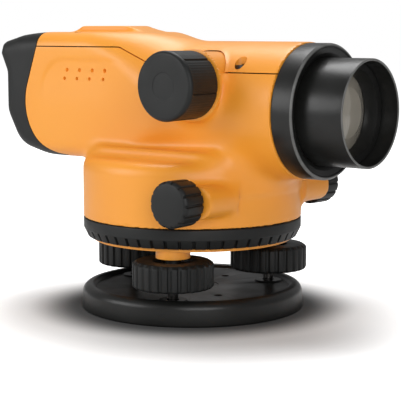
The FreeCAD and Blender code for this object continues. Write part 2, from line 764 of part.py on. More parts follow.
def make_top_cover():
    ridge = padded("ridge_form", "XZ_Plane", [
        (-74, 136), (-26, 136), (-28, 138.6), (-33.7, dim.ridge_top, 2), (-67.3, dim.ridge_top, 2),
        (-72, 138.4),
    ], dim.ridge_half_width * 2)
    outside = fuse("cover_outside", [shell_copy("cover_form", 0), ridge])
    shell = cut("cover_shell", outside, [
        shell_copy("cover_inside", dim.wall), block("cover_end", (dim.barrel_end, 90), (-80, 80), (0, 160)),
    ])
    lid = common("cover_lid", [
        shell, above_seam_but_boss("cover_region"), front_region("cover_front_region"),
    ])
    lugs = common("cover_lugs", [
        fuse("cover_lug_set", cover_posts("cover_lug", dim.post_radius, 110, 140)),
        common("cover_lug_space", [
            shell_copy("cover_lug_form", 1.0), above_seam_but_boss("cover_lug_above"),
        ]),
    ])
    holes = cover_posts("cover_hole", dim.screw_radius, 100, 145)
    sink = dim.screw_head_radius + dim.screw_sink_play
    sinks = [
        rod_between(f"cover_sink_{number}", sink, seat, 146, (forward, aside))
        for number, (forward, aside, seat) in enumerate(cover_screw_places())
    ]
    body = fuse("cover_body", [lid, lugs])
    node(cut("cover_cut", body, [*holes, *sinks]), "top_cover")


def rear_plan(name, face, middle, height):
    """A slab with the rear cover's outline seen from above, its rear corners rounded."""
    half = dim.box_half_width
    corner = dim.rear_corner
    return padded(name, "XY_Plane", [
        (face, -half, corner), (-40, -half), (-40, half), (face, half, corner),
    ], height, middle)


def rear_screw_places():
    """Side place and height of the rear cover's two screws."""
    return [(side * 22, 112) for side in (-1, 1)]


def make_rear_cover():
    side = padded("rear_side", "XZ_Plane", [
        (-60, dim.box_low - 0.2), (-76, dim.box_low - 0.2, 14), (-95, 78.8, 14), (dim.rear_face, 96, 12),
        (dim.rear_face, 117.5, 8), (dim.brow_face, 126.5, 3), (-107.5, 133.2, 4), (-94, 137.6, 20),
        (-60, dim.box_high),
    ], 100)
    half = dim.box_half_width
    across = padded(
        "rear_across", "YZ_Plane", boxed_outline(-half, half, dim.box_low, dim.box_high, dim.box_corner), 260,
    )
    plan = fuse("rear_plans", [
        rear_plan("rear_plan_low", dim.rear_face, 89, 58),
        rear_plan("rear_plan_high", dim.brow_face, 139, 42),
    ])
    inside = block("rear_room", (-101.5, -50), (-27.5, 27.5), (84, 130))
    eye = rod("rear_eye_recess", 16, 6, (-108, 0, dim.axis_height), "x")
    bore = rod("rear_eye_bore", 13, 30, (-110, 0, dim.axis_height), "x")
    sink = dim.screw_head_radius + dim.screw_sink_play
    screws = [
        rod(f"rear_screw_hole_{number}", sink, 3, (dim.rear_face - 1.5, aside, height), "x")
        for number, (aside, height) in enumerate(rear_screw_places())
    ]
    form = common("rear_form", [side, across, plan])
    node(cut("rear_cut", form, [inside, eye, bore, *screws, front_region("rear_front_region")]), "rear_cover")


def make_cover_screws():
    screws = []
    for number, (forward, aside, seat) in enumerate(cover_screw_places()):
        head = rod(f"screw_head_{number}", dim.screw_head_radius, 2, (forward, aside, seat), "z")
        shank = rod(f"screw_shank_{number}", dim.screw_radius, 10, (forward, aside, seat - 10), "z")
        slot = block(f"screw_slot_{number}", (forward - 2, forward + 2), (aside - 0.35, aside + 0.35),
                     (seat + 1.2, seat + 3))
        screws.append(cut(f"cover_screw_{number}", fuse(f"screw_blank_{number}", [head, shank]), [slot]))
    for number, (aside, height) in enumerate(rear_screw_places()):
        spot = (dim.rear_face - 0.1, aside, height)
        screws.append(rod(f"rear_screw_{number}", dim.screw_head_radius, 1.6, spot, "x"))
    node(group("cover_screw_group", screws), "cover_screws")


# ---------------------------------------------------------------- telescope

def along_axis(body, name):
    """Lay a turned body along the line of sight."""
    return node(place(body, (0, 0, dim.axis_height), "x"), name)


def make_telescope():
    bore = dim.tube_bore
    cell = dim.cell_radius
    tube = turned("tube_form", [
        (bore, -4), (bore + 2, -4), (bore + 2, 60), (dim.tube_front_radius, 66),
        (dim.tube_front_radius, dim.tube_front), (cell, dim.tube_front), (cell, 67), (bore, 61),
    ])
    along = place(tube, (0, 0, dim.axis_height), "x")
    hole = rod("tube_pinion_hole", 3.6, 24, (dim.focus_forward, -24, dim.focus_height), "y")
    foot = block("tube_foot", (-4, 4), (-10, 10), (dim.tube_seat_height, 84.5))
    pipe = cut("tube_cut", fuse("tube_and_foot", [along, foot]), [
        hole, rod("tube_clear", bore, 30, (-8, 0, dim.axis_height), "x"),
    ])
    node(pipe, "telescope_tube")

    radius = dim.lens_radius
    rear_face = dim.lens_joint
    front_face = dim.lens_joint + 0.5
    rim_front = front_face + 2.5
    along_axis(turned("front_lens", [
        (0, front_face), (radius, front_face), (radius, rim_front), (12, rim_front + 2.7),
        (0, rim_front + 3.9),
    ]), "objective_front_lens")
    along_axis(turned("rear_lens", [
        (0, rear_face - 3.0), (12, rear_face - 4.1), (radius, rear_face - 6.5), (radius, rear_face),
        (0, rear_face),
    ]), "objective_rear_lens")
    hood_bore = dim.hood_radius - dim.hood_wall
    along_axis(turned("lens_retainer", [
        (radius, rear_face - 8.5), (cell, rear_face - 8.5), (cell, dim.tube_front),
        (hood_bore - 0.1, dim.tube_front), (hood_bore - 0.1, dim.retainer_front, 0.4),
        (cell - 0.6, dim.retainer_front), (radius, rim_front + 0.5),
    ]), "objective_retainer")
    along_axis(turned("collar", [
        (23, dim.barrel_end), (dim.collar_radius, dim.barrel_end, 0.8),
        (dim.collar_radius, dim.collar_front, 1.2), (27.6, dim.collar_front, 0.6),
        (dim.hood_radius, dim.collar_front - 2.2), (dim.hood_radius, 75), (23, 75),
    ]), "objective_collar")
    along_axis(turned("hood", [
        (hood_bore, 75), (dim.hood_radius, 75), (dim.hood_radius, dim.hood_front, 0.4),
        (hood_bore, dim.hood_front, 0.4),
    ]), "lens_hood")


def make_focusing():
    inner = dim.focus_knob_inner
    length = dim.focus_knob_outer - inner
    outer = dim.focus_knob_radius
    knob = turned("focus_knob_body", [
        (dim.shaft_radius, 0), (outer - 0.6, 0, 0.8), (outer, length, 1.3), (outer - 5.0, length),
        (outer - 5.6, length - 0.7), (0, length - 0.7), (0, length - 5), (dim.shaft_radius, length - 5),
    ])
    ring_cut(knob, "XY_Plane", [
        (outer - 0.5, -0.4), (outer + 1, -0.5), (outer + 1, 0.5), (outer - 0.5, 0.4),
    ], 24)
    place(knob, (dim.focus_forward, -inner, dim.focus_height), "-y")
    node(knob, "focus_knob")

    bush = turned("focus_bush_body", [
        (dim.shaft_radius + dim.running_fit, 24), (6.5, 24), (6.5, inner - 0.8),
        (dim.shaft_radius + dim.running_fit, inner - 0.8),
    ])
    node(place(bush, (dim.focus_forward, 0, dim.focus_height), "-y"), "focus_bush")

    module = dim.pinion_module
    pitch = module * dim.pinion_teeth / 2
    tip = pitch + module * 0.9
    pinion = turned("pinion_body", [
        (0, -4.5), (tip, -4.5), (tip, 4.5), (1.4, 4.5), (1.4, 6), (dim.shaft_radius, 6),
        (dim.shaft_radius, dim.focus_knob_outer - 5), (0, dim.focus_knob_outer - 5),
    ])
    cut_depth = module * 1.25
    gap = new_sketch(pinion, "XY_Plane", 4.5)
    add_outline(gap, [
        (-(module * 0.5), -(pitch - cut_depth)), (-(module * 2.25), -(tip + 1)),
        (module * 2.25, -(tip + 1)), (module * 0.5, -(pitch - cut_depth)),
    ])
    pocket = pinion.newObject("PartDesign::Pocket", "pinion_gap")
    pocket.Profile = gap
    bind(pocket, "Length", 9.5)
    pattern = pinion.newObject("PartDesign::PolarPattern", "pinion_gaps")
    pattern.Originals = [pocket]
    pattern.Axis = (plane_of(pinion, "Z_Axis"), [""])
    pattern.Angle = 360
    bind(pattern, "Occurrences", dim.pinion_teeth)
    pinion.Tip = pattern
    node(place(pinion, (dim.focus_forward, 0, dim.focus_height), "-y"), "focus_pinion")

    make_focusing_slide(module, dim.focus_height - pitch)


def make_focusing_slide(module, pitch_height):
    """Lens cell with its rack: a rack tooth stands in the pinion's lowest gap at rest."""
    step = module * math.pi
    tooth_root = module * 0.84
    tooth_tip = module * 0.2
    root_height = pitch_height - module * 1.2
    tip_height = pitch_height + module * 0.85
    outline = [(12, 109.4), (41, 109.4), (41, root_height)]
    for number in range(6, -8, -1):
        centre = dim.focus_forward + step * number
        outline += [
            (centre + tooth_root, root_height), (centre + tooth_tip, tip_height),
            (centre - tooth_tip, tip_height), (centre - tooth_root, root_height),
        ]
    outline += [(12, root_height)]
    rack = padded("rack", "XZ_Plane", outline, 6)
    radius = dim.tube_bore - dim.running_fit
    cell = turned("focusing_cell", [(8.6, 40), (radius, 40, 0.3), (radius, 52, 0.3), (8.6, 52)])
    place(cell, (0, 0, dim.axis_height), "x")
    node(fuse("slide_body", [rack, cell]), "focusing_slide")
    along_axis(turned("focusing_lens_body", [
        (0, 45.2), (8.6, 43), (8.6, 49), (0, 46.8),
    ]), "focusing_lens")


# ---------------------------------------------------------------- eyepiece and reticle

def make_eyepiece():
    along_axis(turned("mount_body", [
        (10.05, -102), (13, -102), (13, -84), (16, -84), (16, -81), (13, -81), (13, -62), (11, -62),
        (11, -76), (10.05, -76),
    ]), "eyepiece_mount")
    along_axis(turned("reticle_cell_body", [(6, -75), (11, -75), (11, -66), (7, -66), (7, -70), (6, -70)]),
               "reticle_cell")
    along_axis(turned("reticle_glass_body", [(0, -70), (7, -70), (7, -68.4), (0, -68.4)]), "reticle_glass")
    end = dim.eyepiece_end
    along_axis(turned("eye_cell", [
        (8, end + 2.2), (10.0, end + 2.2), (10.0, -82), (8, -82),
    ]), "eyepiece_cell")
    lenses = [
        turned("eye_lens", [(0, -111), (8, -110), (8, -107), (0, -105.8)]),
        turned("field_lens", [(0, -88), (8, -87), (8, -84.6), (0, -83.4)]),
    ]
    for lens in lenses:
        place(lens, (0, 0, dim.axis_height), "x")
    node(group("eye_lens_group", lenses), "eyepiece_lenses")
    outer = dim.eyepiece_radius
    ring = turned("eye_ring", [
        (6.5, end, 0.5), (outer, end, 1.2), (outer, end + 9.6, 0.3), (outer - 0.7, end + 9.6),
        (outer - 0.7, end + 1.9), (6.5, end + 1.9),
    ])
    ring_cut(ring, "XY_Plane", [
        (outer - 0.35, -0.35), (outer + 1, -0.5), (outer + 1, 0.5), (outer - 0.35, 0.35),
    ], 36)
    along_axis(ring, "eyepiece_ring")


# ---------------------------------------------------------------- compensator

def make_compensator():
    middle = dim.pendulum_forward
    front, rear = middle + 20, middle - 20
    top = dim.suspension_height
    floor = dim.box_low + dim.wall
    pieces = [
        block("frame_foot", (rear, front), (-19, 19), (floor, 79.5)),
        block("frame_near", (rear, front), (-19, -17), (floor, top + 3)),
        block("frame_far", (rear, front), (17, 19), (floor, top + 3)),
        block("frame_bridge", (middle - 5, middle + 5), (-19, 19), (top, top + 3)),
        block("frame_front_seat", (front - 9, front), (-19, 19), (89, 91)),
        block("frame_rear_seat", (rear, rear + 9), (-19, 19), (89, 91)),
        block("frame_magnet_near", (middle - 6, middle + 6), (-19, -7), (79.5, 82)),
        block("frame_magnet_far", (middle - 6, middle + 6), (7, 19), (79.5, 82)),
    ]
    frame = fuse("frame_body", pieces)
    node(frame, "compensator_frame")

    def prism(name, corners):
        return padded(name, "XZ_Plane", corners, 16)

    low, high = 91, 109
    node(group("prism_group", [
        prism("front_prism", [(front - 8, low), (front, low), (front, high), (front - 8, high - 8)]),
        prism("rear_prism", [(rear, low), (rear + 8, low), (rear + 8, high - 8), (rear, high)]),
    ]), "compensator_prisms")
    node(group("magnet_group", [
        rod("magnet_near", 5.5, 5, (middle, -7.2, 87.6), "y"),
        rod("magnet_far", 5.5, 5, (middle, 2.2, 87.6), "y"),
        block("yoke_near", (middle - 5, middle + 5), (-9.6, -7.2), (82, 93)),
        block("yoke_far", (middle - 5, middle + 5), (7.2, 9.6), (82, 93)),
    ]), "damper_magnets")

    node(fuse("pendulum_body", [
        block("pendulum_plate", (middle - 9, middle + 9), (-9, 9), (94.5, 96.5)),
        block("pendulum_near", (middle - 9, middle + 9), (-10.5, -9), (94.5, 111)),
        block("pendulum_far", (middle - 9, middle + 9), (9, 10.5), (94.5, 111)),
        block("damper_blade", (middle - 5, middle + 5), (-0.8, 0.8), (82.5, 94.5)),
    ]), "pendulum_frame")
    node(prism("pendulum_prism_body", [
        (middle - 8.5, 96.5), (middle + 8.5, 96.5), (middle, 106.5),
    ]), "pendulum_prism")
    wires = [
        rod(f"wire_{number}", 0.3, top - 0.4 - 111, (middle + ahead, side, 111), "z")
        for number, (ahead, side) in enumerate([(-4, -9.8), (4, -9.8), (-4, 9.8), (4, 9.8)])
    ]
    node(group("wire_group", wires), "pendulum_wires")


# ---------------------------------------------------------------- circular bubble

def make_bubble():
    forward, side = dim.bubble_forward, dim.bubble_side
    low, high = dim.bubble_low, dim.bubble_high
    radius = dim.bubble_radius
    cup = rod("bubble_cup", radius, high - low, (forward, side, low), "z")
    arm = block("bubble_arm", (forward - 7, forward + 7), (dim.box_half_width, side), (low, high - 3))
    lugs = [
        block(f"mirror_lug_{number}", (forward + 9, forward + 14.2), (side + start, side + start + 3),
              (high - 7, high + 3))
        for number, start in enumerate((-9, 6))
    ]
    bore = rod("bubble_bore", 9, 20, (forward, side, low + 3), "z")
    pin_hole = rod("mirror_pin_hole", 1.2, 40, (forward + 12, side - 20, high + 1.2), "y")
    holes = [
        rod(f"bubble_screw_hole_{number}", 1.3, 10, (*spot, low - 1), "z")
        for number, spot in enumerate(bubble_screw_places())
    ]
    relief = rod("mirror_relief", 2.7, 12, (forward + 12, side - 6, high + 1.2), "y")
    housing = cut("bubble_cut", fuse("bubble_body", [cup, arm, *lugs]), [bore, relief, pin_hole, *holes])
    node(housing, "bubble_housing")
    node(place(turned("vial_body", [(0, 4.2), (8.8, 4.2), (8.8, 13, 0.5), (7, 14), (0, 14.4)]),
               (forward, side, low)), "bubble_vial")
    node(group("bubble_screw_group", [
        fuse(f"bubble_screw_{number}", [
            rod(f"bubble_screw_head_{number}", 2.2, 1.6, (*spot, low - 1.6), "z"),
            rod(f"bubble_screw_shank_{number}", 1.3, 4.2, (*spot, low), "z"),
        ])
        for number, spot in enumerate(bubble_screw_places())
    ]), "bubble_screws")
    node(rod("mirror_pin_body", 1.2, 18, (forward + 12, side - 9, high + 1.2), "y"), "mirror_pin")
    glass = block("mirror_plate", (forward - 12, forward + 12), (side - 11, side + 11),
                  (high + 2.6, high + 4.4))
    knuckle = rod("mirror_knuckle", 2.2, 11.4, (forward + 12, side - 5.7, high + 1.2), "y")
    web = block("mirror_web", (forward + 9.8, forward + 12), (side - 5.7, side + 5.7), (high + 1.2, high + 3))
    clear = rod("mirror_pin_clearance", 1.25, 30, (forward + 12, side - 15, high + 1.2), "y")
    notches = [
        block(f"mirror_notch_{number}", (forward + 8.5, forward + 15),
              (side + start - 0.4, side + start + 3.4), (high, high + 6))
        for number, start in enumerate((-9, 6))
    ]
    node(cut("mirror_cut", fuse("mirror_body", [glass, knuckle, web]), [clear, *notches]), "bubble_mirror")


def bubble_screw_places():
    """Places of the three screws that hold the vial."""
    places = []
    for turn in (90, 210, 330):
        angle = math.radians(turn)
        places.append((dim.bubble_forward + 6 * math.cos(angle), dim.bubble_side + 6 * math.sin(angle)))
    return places


# ---------------------------------------------------------------- build, check and write

def check_and_write():
    """Stop on any failed object or shape, then write every sub-part's file."""
    failed = [item.Name for item in doc.Objects if {"Invalid", "Error"} & set(item.State)]
    for item in nodes:
        if item.Shape.isNull() or not item.Shape.isValid() or not item.Shape.Solids:
            failed.append(item.Label)
    if failed:
        raise SystemExit(f"failed: {sorted(set(failed))}")
    os.makedirs("parts", exist_ok=True)
    for item in nodes:
        item.Shape.exportStep(f"parts/{item.Label}.step")
    print(f"{len(nodes)} sub-parts written")


def main():
    make_base_plate()
    make_tripod_bush()
    make_spring_plate()
    for i in FEET:
        make_foot(i)
    make_tribrach()
    make_circle()
    make_vertical_axis()
    make_worm_wheel()
    make_tangent_screw()
    make_lower_housing()
    make_top_cover()
    make_rear_cover()
    make_cover_screws()
    make_telescope()
    make_focusing()
    make_eyepiece()
    make_compensator()
    make_bubble()
    doc.recompute()
    check_and_write()


main()
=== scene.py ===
import json
import math

import bpy
import numpy as np
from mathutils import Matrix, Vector


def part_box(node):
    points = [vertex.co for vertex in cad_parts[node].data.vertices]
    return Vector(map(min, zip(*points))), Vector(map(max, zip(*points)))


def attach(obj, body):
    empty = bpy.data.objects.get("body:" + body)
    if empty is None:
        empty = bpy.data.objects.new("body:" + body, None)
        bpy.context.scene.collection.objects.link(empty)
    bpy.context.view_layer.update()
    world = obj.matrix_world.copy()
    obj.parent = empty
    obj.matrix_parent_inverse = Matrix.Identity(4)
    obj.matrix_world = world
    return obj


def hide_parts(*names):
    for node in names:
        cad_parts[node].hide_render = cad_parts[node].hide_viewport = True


MM = 0.001
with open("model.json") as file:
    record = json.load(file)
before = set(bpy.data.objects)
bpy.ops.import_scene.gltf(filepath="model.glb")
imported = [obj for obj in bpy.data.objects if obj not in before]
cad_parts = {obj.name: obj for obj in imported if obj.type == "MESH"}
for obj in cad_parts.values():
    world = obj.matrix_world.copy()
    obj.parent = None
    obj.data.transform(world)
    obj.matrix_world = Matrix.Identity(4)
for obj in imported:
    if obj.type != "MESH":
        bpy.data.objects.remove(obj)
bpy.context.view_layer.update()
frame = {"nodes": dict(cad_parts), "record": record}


# ---------------------------------------------------------------- what the frame says

def low_mm(node):
    """Lowest corner of a CAD node, in millimetres."""
    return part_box(node)[0] / MM


def high_mm(node):
    """Highest corner of a CAD node, in millimetres."""
    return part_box(node)[1] / MM


AXIS_Z = (low_mm("lens_hood").z + high_mm("lens_hood").z) / 2
FRONT = low_mm("objective_collar").x
BOX_HALF = high_mm("rear_cover").y
BOX_LOW = low_mm("rear_cover").z
BOX_HIGH = high_mm("rear_cover").z
RIDGE_TOP = high_mm("top_cover").z
BOWL_R = high_mm("horizontal_circle").x
BOWL_LOW = low_mm("lower_housing").z


# ---------------------------------------------------------------- node trees

class Nodes:
    """Small helper that adds and joins the shader nodes of one material."""

    def __init__(self, name):
        self.material = bpy.data.materials.new(name)
        self.material.use_nodes = True
        self.tree = self.material.node_tree
        self.shader = self.tree.nodes["Principled BSDF"]
        self.point = self.add("ShaderNodeTexCoord").outputs["Object"]

    def add(self, kind, inputs=(), **settings):
        made = self.tree.nodes.new(kind)
        for key, value in settings.items():
            setattr(made, key, value)
        for key, value in dict(inputs).items():
            if isinstance(value, bpy.types.NodeSocket):
                self.tree.links.new(value, made.inputs[key])
            else:
                made.inputs[key].default_value = value
        return made

    def stretched(self, factors):
        """The object's own coordinates, scaled along each axis."""
        return self.add("ShaderNodeMapping", {"Vector": self.point, "Scale": factors}).outputs["Vector"]

    def noise(self, scale, detail=3.0, rough=0.5, vector=None):
        vector = self.point if vector is None else vector
        made = self.add("ShaderNodeTexNoise", {
            "Vector": vector, "Scale": scale, "Detail": detail, "Roughness": rough,
        })
        return made.outputs["Fac"]

    def spread(self, value, low, high, from_low=0.3, from_high=0.7):
        """A texture's value brought into another range."""
        made = self.add("ShaderNodeMapRange", {
            "Value": value, "From Min": from_low, "From Max": from_high, "To Min": low, "To Max": high,
        })
        return made.outputs["Result"]

    def blend(self, factor, first, second):
        made = self.add("ShaderNodeMix", {"Factor": factor}, data_type="RGBA")
        for socket, value in ((made.inputs[6], first), (made.inputs[7], second)):
            if isinstance(value, bpy.types.NodeSocket):
                self.tree.links.new(value, socket)
            else:
                socket.default_value = (*value, 1.0)
        return made.outputs[2]

    def bump(self, height, depth, strength=1.0, under=None):
        made = self.add("ShaderNodeBump", {"Height": height, "Distance": depth, "Strength": strength})
        if under is not None:
            self.tree.links.new(under, made.inputs["Normal"])
        return made.outputs["Normal"]

    def set(self, **values):
        """Set or link the shader's own sockets, named with _ for a space."""
        for key, value in values.items():
            socket = self.shader.inputs[key.replace("_", " ")]
            if isinstance(value, bpy.types.NodeSocket):
                self.tree.links.new(value, socket)
            elif isinstance(value, tuple):
                socket.default_value = (*value, 1.0)
            else:
                socket.default_value = value
        return self.material


# ---------------------------------------------------------------- materials

def orange_paint():
    """Sprayed paint with a light orange peel."""
    m = Nodes("orange_paint")
    tone = m.spread(m.noise(14.0, 2.0), 0.0, 1.0)
    colour = m.blend(tone, (0.87, 0.325, 0.026), (0.91, 0.355, 0.034))
    speck = m.spread(m.noise(2600.0, 2.0), 0.0, 0.06, 0.62, 0.75)
    colour = m.blend(speck, colour, (0.80, 0.22, 0.012))
    peel = m.bump(m.noise(620.0, 2.0), 0.00006, 0.55)
    grain = m.bump(m.noise(3400.0, 3.0), 0.00002, 0.5, peel)
    rough = m.spread(m.noise(90.0, 3.0), 0.40, 0.48)
    return m.set(Base_Color=colour, Roughness=rough, Normal=grain, Coat_Weight=0.24, Coat_Roughness=0.34,
                 Specular_IOR_Level=0.42)


def black_moulding():
    """Fine-grained moulded plastic with a little dust."""
    m = Nodes("black_moulding")
    tone = m.spread(m.noise(60.0, 3.0), 0.0, 1.0)
    colour = m.blend(tone, (0.0065, 0.0070, 0.0068), (0.0100, 0.0108, 0.0105))
    dust = m.spread(m.noise(1500.0, 4.0, 0.7), 0.0, 0.30, 0.60, 0.80)
    colour = m.blend(dust, colour, (0.030, 0.031, 0.030))
    fine = m.bump(m.noise(4200.0, 2.0), 0.00004, 0.6)
    grain = m.bump(m.noise(1300.0, 3.0), 0.00005, 0.4, fine)
    rough = m.spread(m.noise(120.0, 4.0), 0.44, 0.56)
    return m.set(Base_Color=colour, Roughness=rough, Normal=grain, Specular_IOR_Level=0.34)


def painted_black(m, wear_and_highlight_share, wear_and_highlight_colour):
    """Finish a black painted material; the given share of its paint shows the given lighter colour: worn
    specks on black_paint, a painted highlight on the rims of the collar and hood.
    """
    tone = m.spread(m.noise(40.0, 3.0), 0.0, 1.0)
    paint = m.blend(tone, (0.0070, 0.0071, 0.0066), (0.0110, 0.0111, 0.0104))
    peel = m.bump(m.noise(520.0, 2.0), 0.00007, 0.5)
    rough = m.spread(m.noise(70.0, 4.0), 0.30, 0.40)
    return m.set(Base_Color=m.blend(wear_and_highlight_share, paint, wear_and_highlight_colour), Roughness=rough, Normal=peel,
                 Coat_Weight=0.05, Coat_Roughness=0.2, Specular_IOR_Level=0.35)


def black_paint():
    """Black paint with small specks of wear."""
    m = Nodes("black_paint")
    chips = m.spread(m.noise(900.0, 5.0, 0.65), 0.0, 0.25, 0.63, 0.80)
    return painted_black(m, chips, (0.050, 0.048, 0.045))


def rim_highlight_paint(name, start, inner):
    """Black paint with a painted highlight, a lighter satin on a round rim: beyond start along X and inner
    from the axis.
    """
    m = Nodes(name)
    place = m.add("ShaderNodeSeparateXYZ", {"Vector": m.point}).outputs
    raised = m.add("ShaderNodeMath", {0: place["Z"], 1: AXIS_Z * MM}, operation="SUBTRACT").outputs["Value"]
    across = m.add("ShaderNodeCombineXYZ", {"X": place["Y"], "Y": raised}).outputs["Vector"]
    reach = m.add("ShaderNodeVectorMath", {0: across}, operation="LENGTH").outputs["Value"]
    soft = 0.15
    ahead = m.spread(place["X"], 0.0, 1.0, (start - soft) * MM, (start + soft) * MM)
    outside = m.spread(reach, 0.0, 1.0, (inner - soft) * MM, (inner + soft) * MM)
    rim = m.add("ShaderNodeMath", {0: ahead, 1: outside}, operation="MULTIPLY").outputs["Value"]
    patchy = m.spread(m.noise(160.0, 3.0), 0.55, 1.0)
    # painted highlight: the rim's patchy lighter colour stands in for light caught by the rim's edge
    rim_highlight = m.add("ShaderNodeMath", {0: rim, 1: patchy}, operation="MULTIPLY").outputs["Value"]
    return painted_black(m, rim_highlight, (0.16, 0.16, 0.155))


def metal(name, colour, second, rough, along):
    """Turned or ground metal, with fine tool marks across one axis."""
    m = Nodes(name)
    marks = m.noise(1.0, 2.0, 0.6, m.stretched(along))
    tone = m.spread(m.noise(180.0, 3.0), 0.0, 1.0)
    base = m.blend(tone, colour, second)
    shine = m.spread(marks, rough - 0.07, rough + 0.09)
    lines = m.bump(marks, 0.00002, 0.45)
    return m.set(Base_Color=base, Metallic=1.0, Roughness=shine, Normal=lines)


def lens_glass():
    """Coated optical glass: a warm grey base colour, a painted reflection, over a clear lens."""
    m = Nodes("lens_glass")
    tone = m.spread(m.noise(35.0, 2.0), 0.0, 1.0)
    # painted reflection: the warm grey stands in for what the lens reflects
    colour = m.blend(tone, (0.420, 0.385, 0.320), (0.475, 0.435, 0.365))
    rough = m.spread(m.noise(260.0, 3.0), 0.04, 0.09)
    return m.set(Base_Color=colour, Roughness=rough, Transmission_Weight=0.35, IOR=1.62,
                 Coat_Weight=0.5, Coat_Roughness=0.03)


def bubble_glass():
    """The vial: pale green liquid under clear glass."""
    m = Nodes("bubble_glass")
    tone = m.spread(m.noise(70.0, 2.0), 0.0, 1.0)
    colour = m.blend(tone, (0.62, 0.76, 0.30), (0.70, 0.82, 0.38))
    rough = m.spread(m.noise(200.0, 3.0), 0.03, 0.07)
    return m.set(Base_Color=colour, Roughness=rough, Transmission_Weight=0.45, IOR=1.45)


def mirror_face():
    """Silvered glass with faint smears."""
    m = Nodes("mirror_face")
    smear = m.noise(160.0, 4.0, 0.6)
    colour = m.blend(m.spread(smear, 0.0, 1.0), (0.80, 0.82, 0.83), (0.87, 0.88, 0.89))
    return m.set(Base_Color=colour, Metallic=1.0, Roughness=m.spread(smear, 0.03, 0.10))


MATERIALS = {
    "orange_paint": orange_paint(),
    "black_moulding": black_moulding(),
    "black_paint": black_paint(),
    "brass": metal("brass", (0.60, 0.42, 0.17), (0.68, 0.49, 0.22), 0.28, (300.0, 300.0, 4200.0)),
    "steel": metal("steel", (0.52, 0.53, 0.54), (0.62, 0.62, 0.62), 0.26, (420.0, 420.0, 3600.0)),
    "aluminium": metal("aluminium", (0.62, 0.63, 0.64), (0.70, 0.70, 0.71), 0.34, (3600.0, 500.0, 500.0)),
    "glass": lens_glass(),
    "mirror_face": mirror_face(),
}
VIAL = bubble_glass()
DARK_STEEL = metal("dark_steel", (0.060, 0.058, 0.056), (0.095, 0.090, 0.086), 0.34, (420.0, 420.0, 3600.0))


# ---------------------------------------------------------------- mesh helpers

def finish_mesh(name, mesh, body, slot, nodes, sharp=32.0):
    """Name a new piece, shade it, give it its body and finish, and hide the CAD nodes it stands for."""
    piece = bpy.data.objects.new(name, mesh)
    mesh.name = name
    bpy.context.scene.collection.objects.link(piece)
    mesh.polygons.foreach_set("use_smooth", [True] * len(mesh.polygons))
    mesh.set_sharp_from_angle(angle=math.radians(sharp))
    mesh.materials.clear()
    mesh.materials.append(MATERIALS[slot])
    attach(piece, body)
    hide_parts(*nodes)
    return piece


def rounded(corners, step=0.35):
    """A closed outline in millimetres: each corner is (across, along) or (across, along, rounding)."""
    outline = []
    count = len(corners)
    for index, corner in enumerate(corners):
        at = Vector(corner[:2])
        if len(corner) == 2:
            outline.append(tuple(at))
            continue
        back = (Vector(corners[index - 1][:2]) - at).normalized()
        ahead = (Vector(corners[(index + 1) % count][:2]) - at).normalized()
        half = math.acos(max(-1.0, min(1.0, back.dot(ahead)))) / 2
        reach = corner[2] / math.tan(half)
        centre = at + (back + ahead).normalized() * (corner[2] / math.sin(half))
        start = at + back * reach - centre
        end = at + ahead * reach - centre
        sweep = start.angle_signed(end)
        parts = max(3, math.ceil(abs(sweep) * corner[2] / step))
        for part in range(parts + 1):
            turn = -sweep * part / parts
            c, s = math.cos(turn), math.sin(turn)
            outline.append((centre.x + start.x * c - start.y * s, centre.y + start.x * s + start.y * c))
    return outline


def spun(profile, segments, shape=None):
    """Points and faces of a closed outline (radius, along) turned round the Z axis, in millimetres.

    shape(radius, along, angle) may change the radius from place to place, for ribs and notches."""
    turn = np.arange(segments) * 2 * math.pi / segments
    points, rings, faces = [], [], []
    total = 0
    for radius, along in profile:
        if radius < 1e-6:
            rings.append(np.full(segments, total))
            points.append([[0.0, 0.0, along]])
            total += 1
            continue
        reach = np.full(segments, radius) if shape is None else shape(radius, along, turn)
        points.append(np.stack([reach * np.cos(turn), reach * np.sin(turn), np.full(segments, along)], 1))
        rings.append(np.arange(segments) + total)
        total += segments
    for index in range(len(rings)):
        this, after = rings[index], rings[(index + 1) % len(rings)]
        for k in range(segments):
            nxt = (k + 1) % segments
            corners = list(dict.fromkeys((int(this[k]), int(this[nxt]), int(after[nxt]), int(after[k]))))
            if len(corners) > 2:
                faces.append(corners)
    return np.concatenate([np.asarray(p, float) for p in points]), faces


# where the two cross directions and the axis of a turned piece point, for each way its axis may lie
TURNS = {
    "z": ((1, 0, 0), (0, 1, 0), (0, 0, 1)),
    "x": ((0, 0, -1), (0, 1, 0), (1, 0, 0)),
    "y": ((1, 0, 0), (0, 0, -1), (0, 1, 0)),
    "-y": ((1, 0, 0), (0, 0, 1), (0, -1, 0)),
}


def mesh_from(points, faces):
    """A mesh in metres from points in millimetres, with its faces turned outwards."""
    mesh = bpy.data.meshes.new("piece")
    mesh.from_pydata((np.asarray(points) * MM).tolist(), [], faces)
    mesh.validate()
    mesh.update()
    a = np.array([v.co for v in mesh.vertices])
    mesh.calc_loop_triangles()
    t = np.array([list(tri.vertices) for tri in mesh.loop_triangles])
    volume = (a[t[:, 0]] * np.cross(a[t[:, 1]], a[t[:, 2]])).sum()
    if volume < 0:
        mesh.flip_normals()
    return mesh


def lathe(name, profile, centre, along, body, slot, nodes, segments=128, shape=None, sharp=32.0):
    """A turned piece with its axis along z, x, y or -y, from a centre in millimetres."""
    points, faces = spun(profile, segments, shape)
    across, up, axis = (np.array(v, float) for v in TURNS[along])
    placed = points[:, :1] * across + points[:, 1:2] * up + points[:, 2:] * axis + np.array(centre, float)
    return finish_mesh(name, mesh_from(placed, faces), body, slot, nodes, sharp)


# ---------------------------------------------------------------- fields of distance, in millimetres

def joined(a, b, blend):
    """Union of two fields with a soft fillet."""
    reach = np.maximum(blend - np.abs(a - b), 0.0) / blend
    return np.minimum(a, b) - reach * reach * blend / 4


def shared(a, b, blend):
    """Intersection of two fields with a soft edge."""
    return -joined(-a, -b, blend)


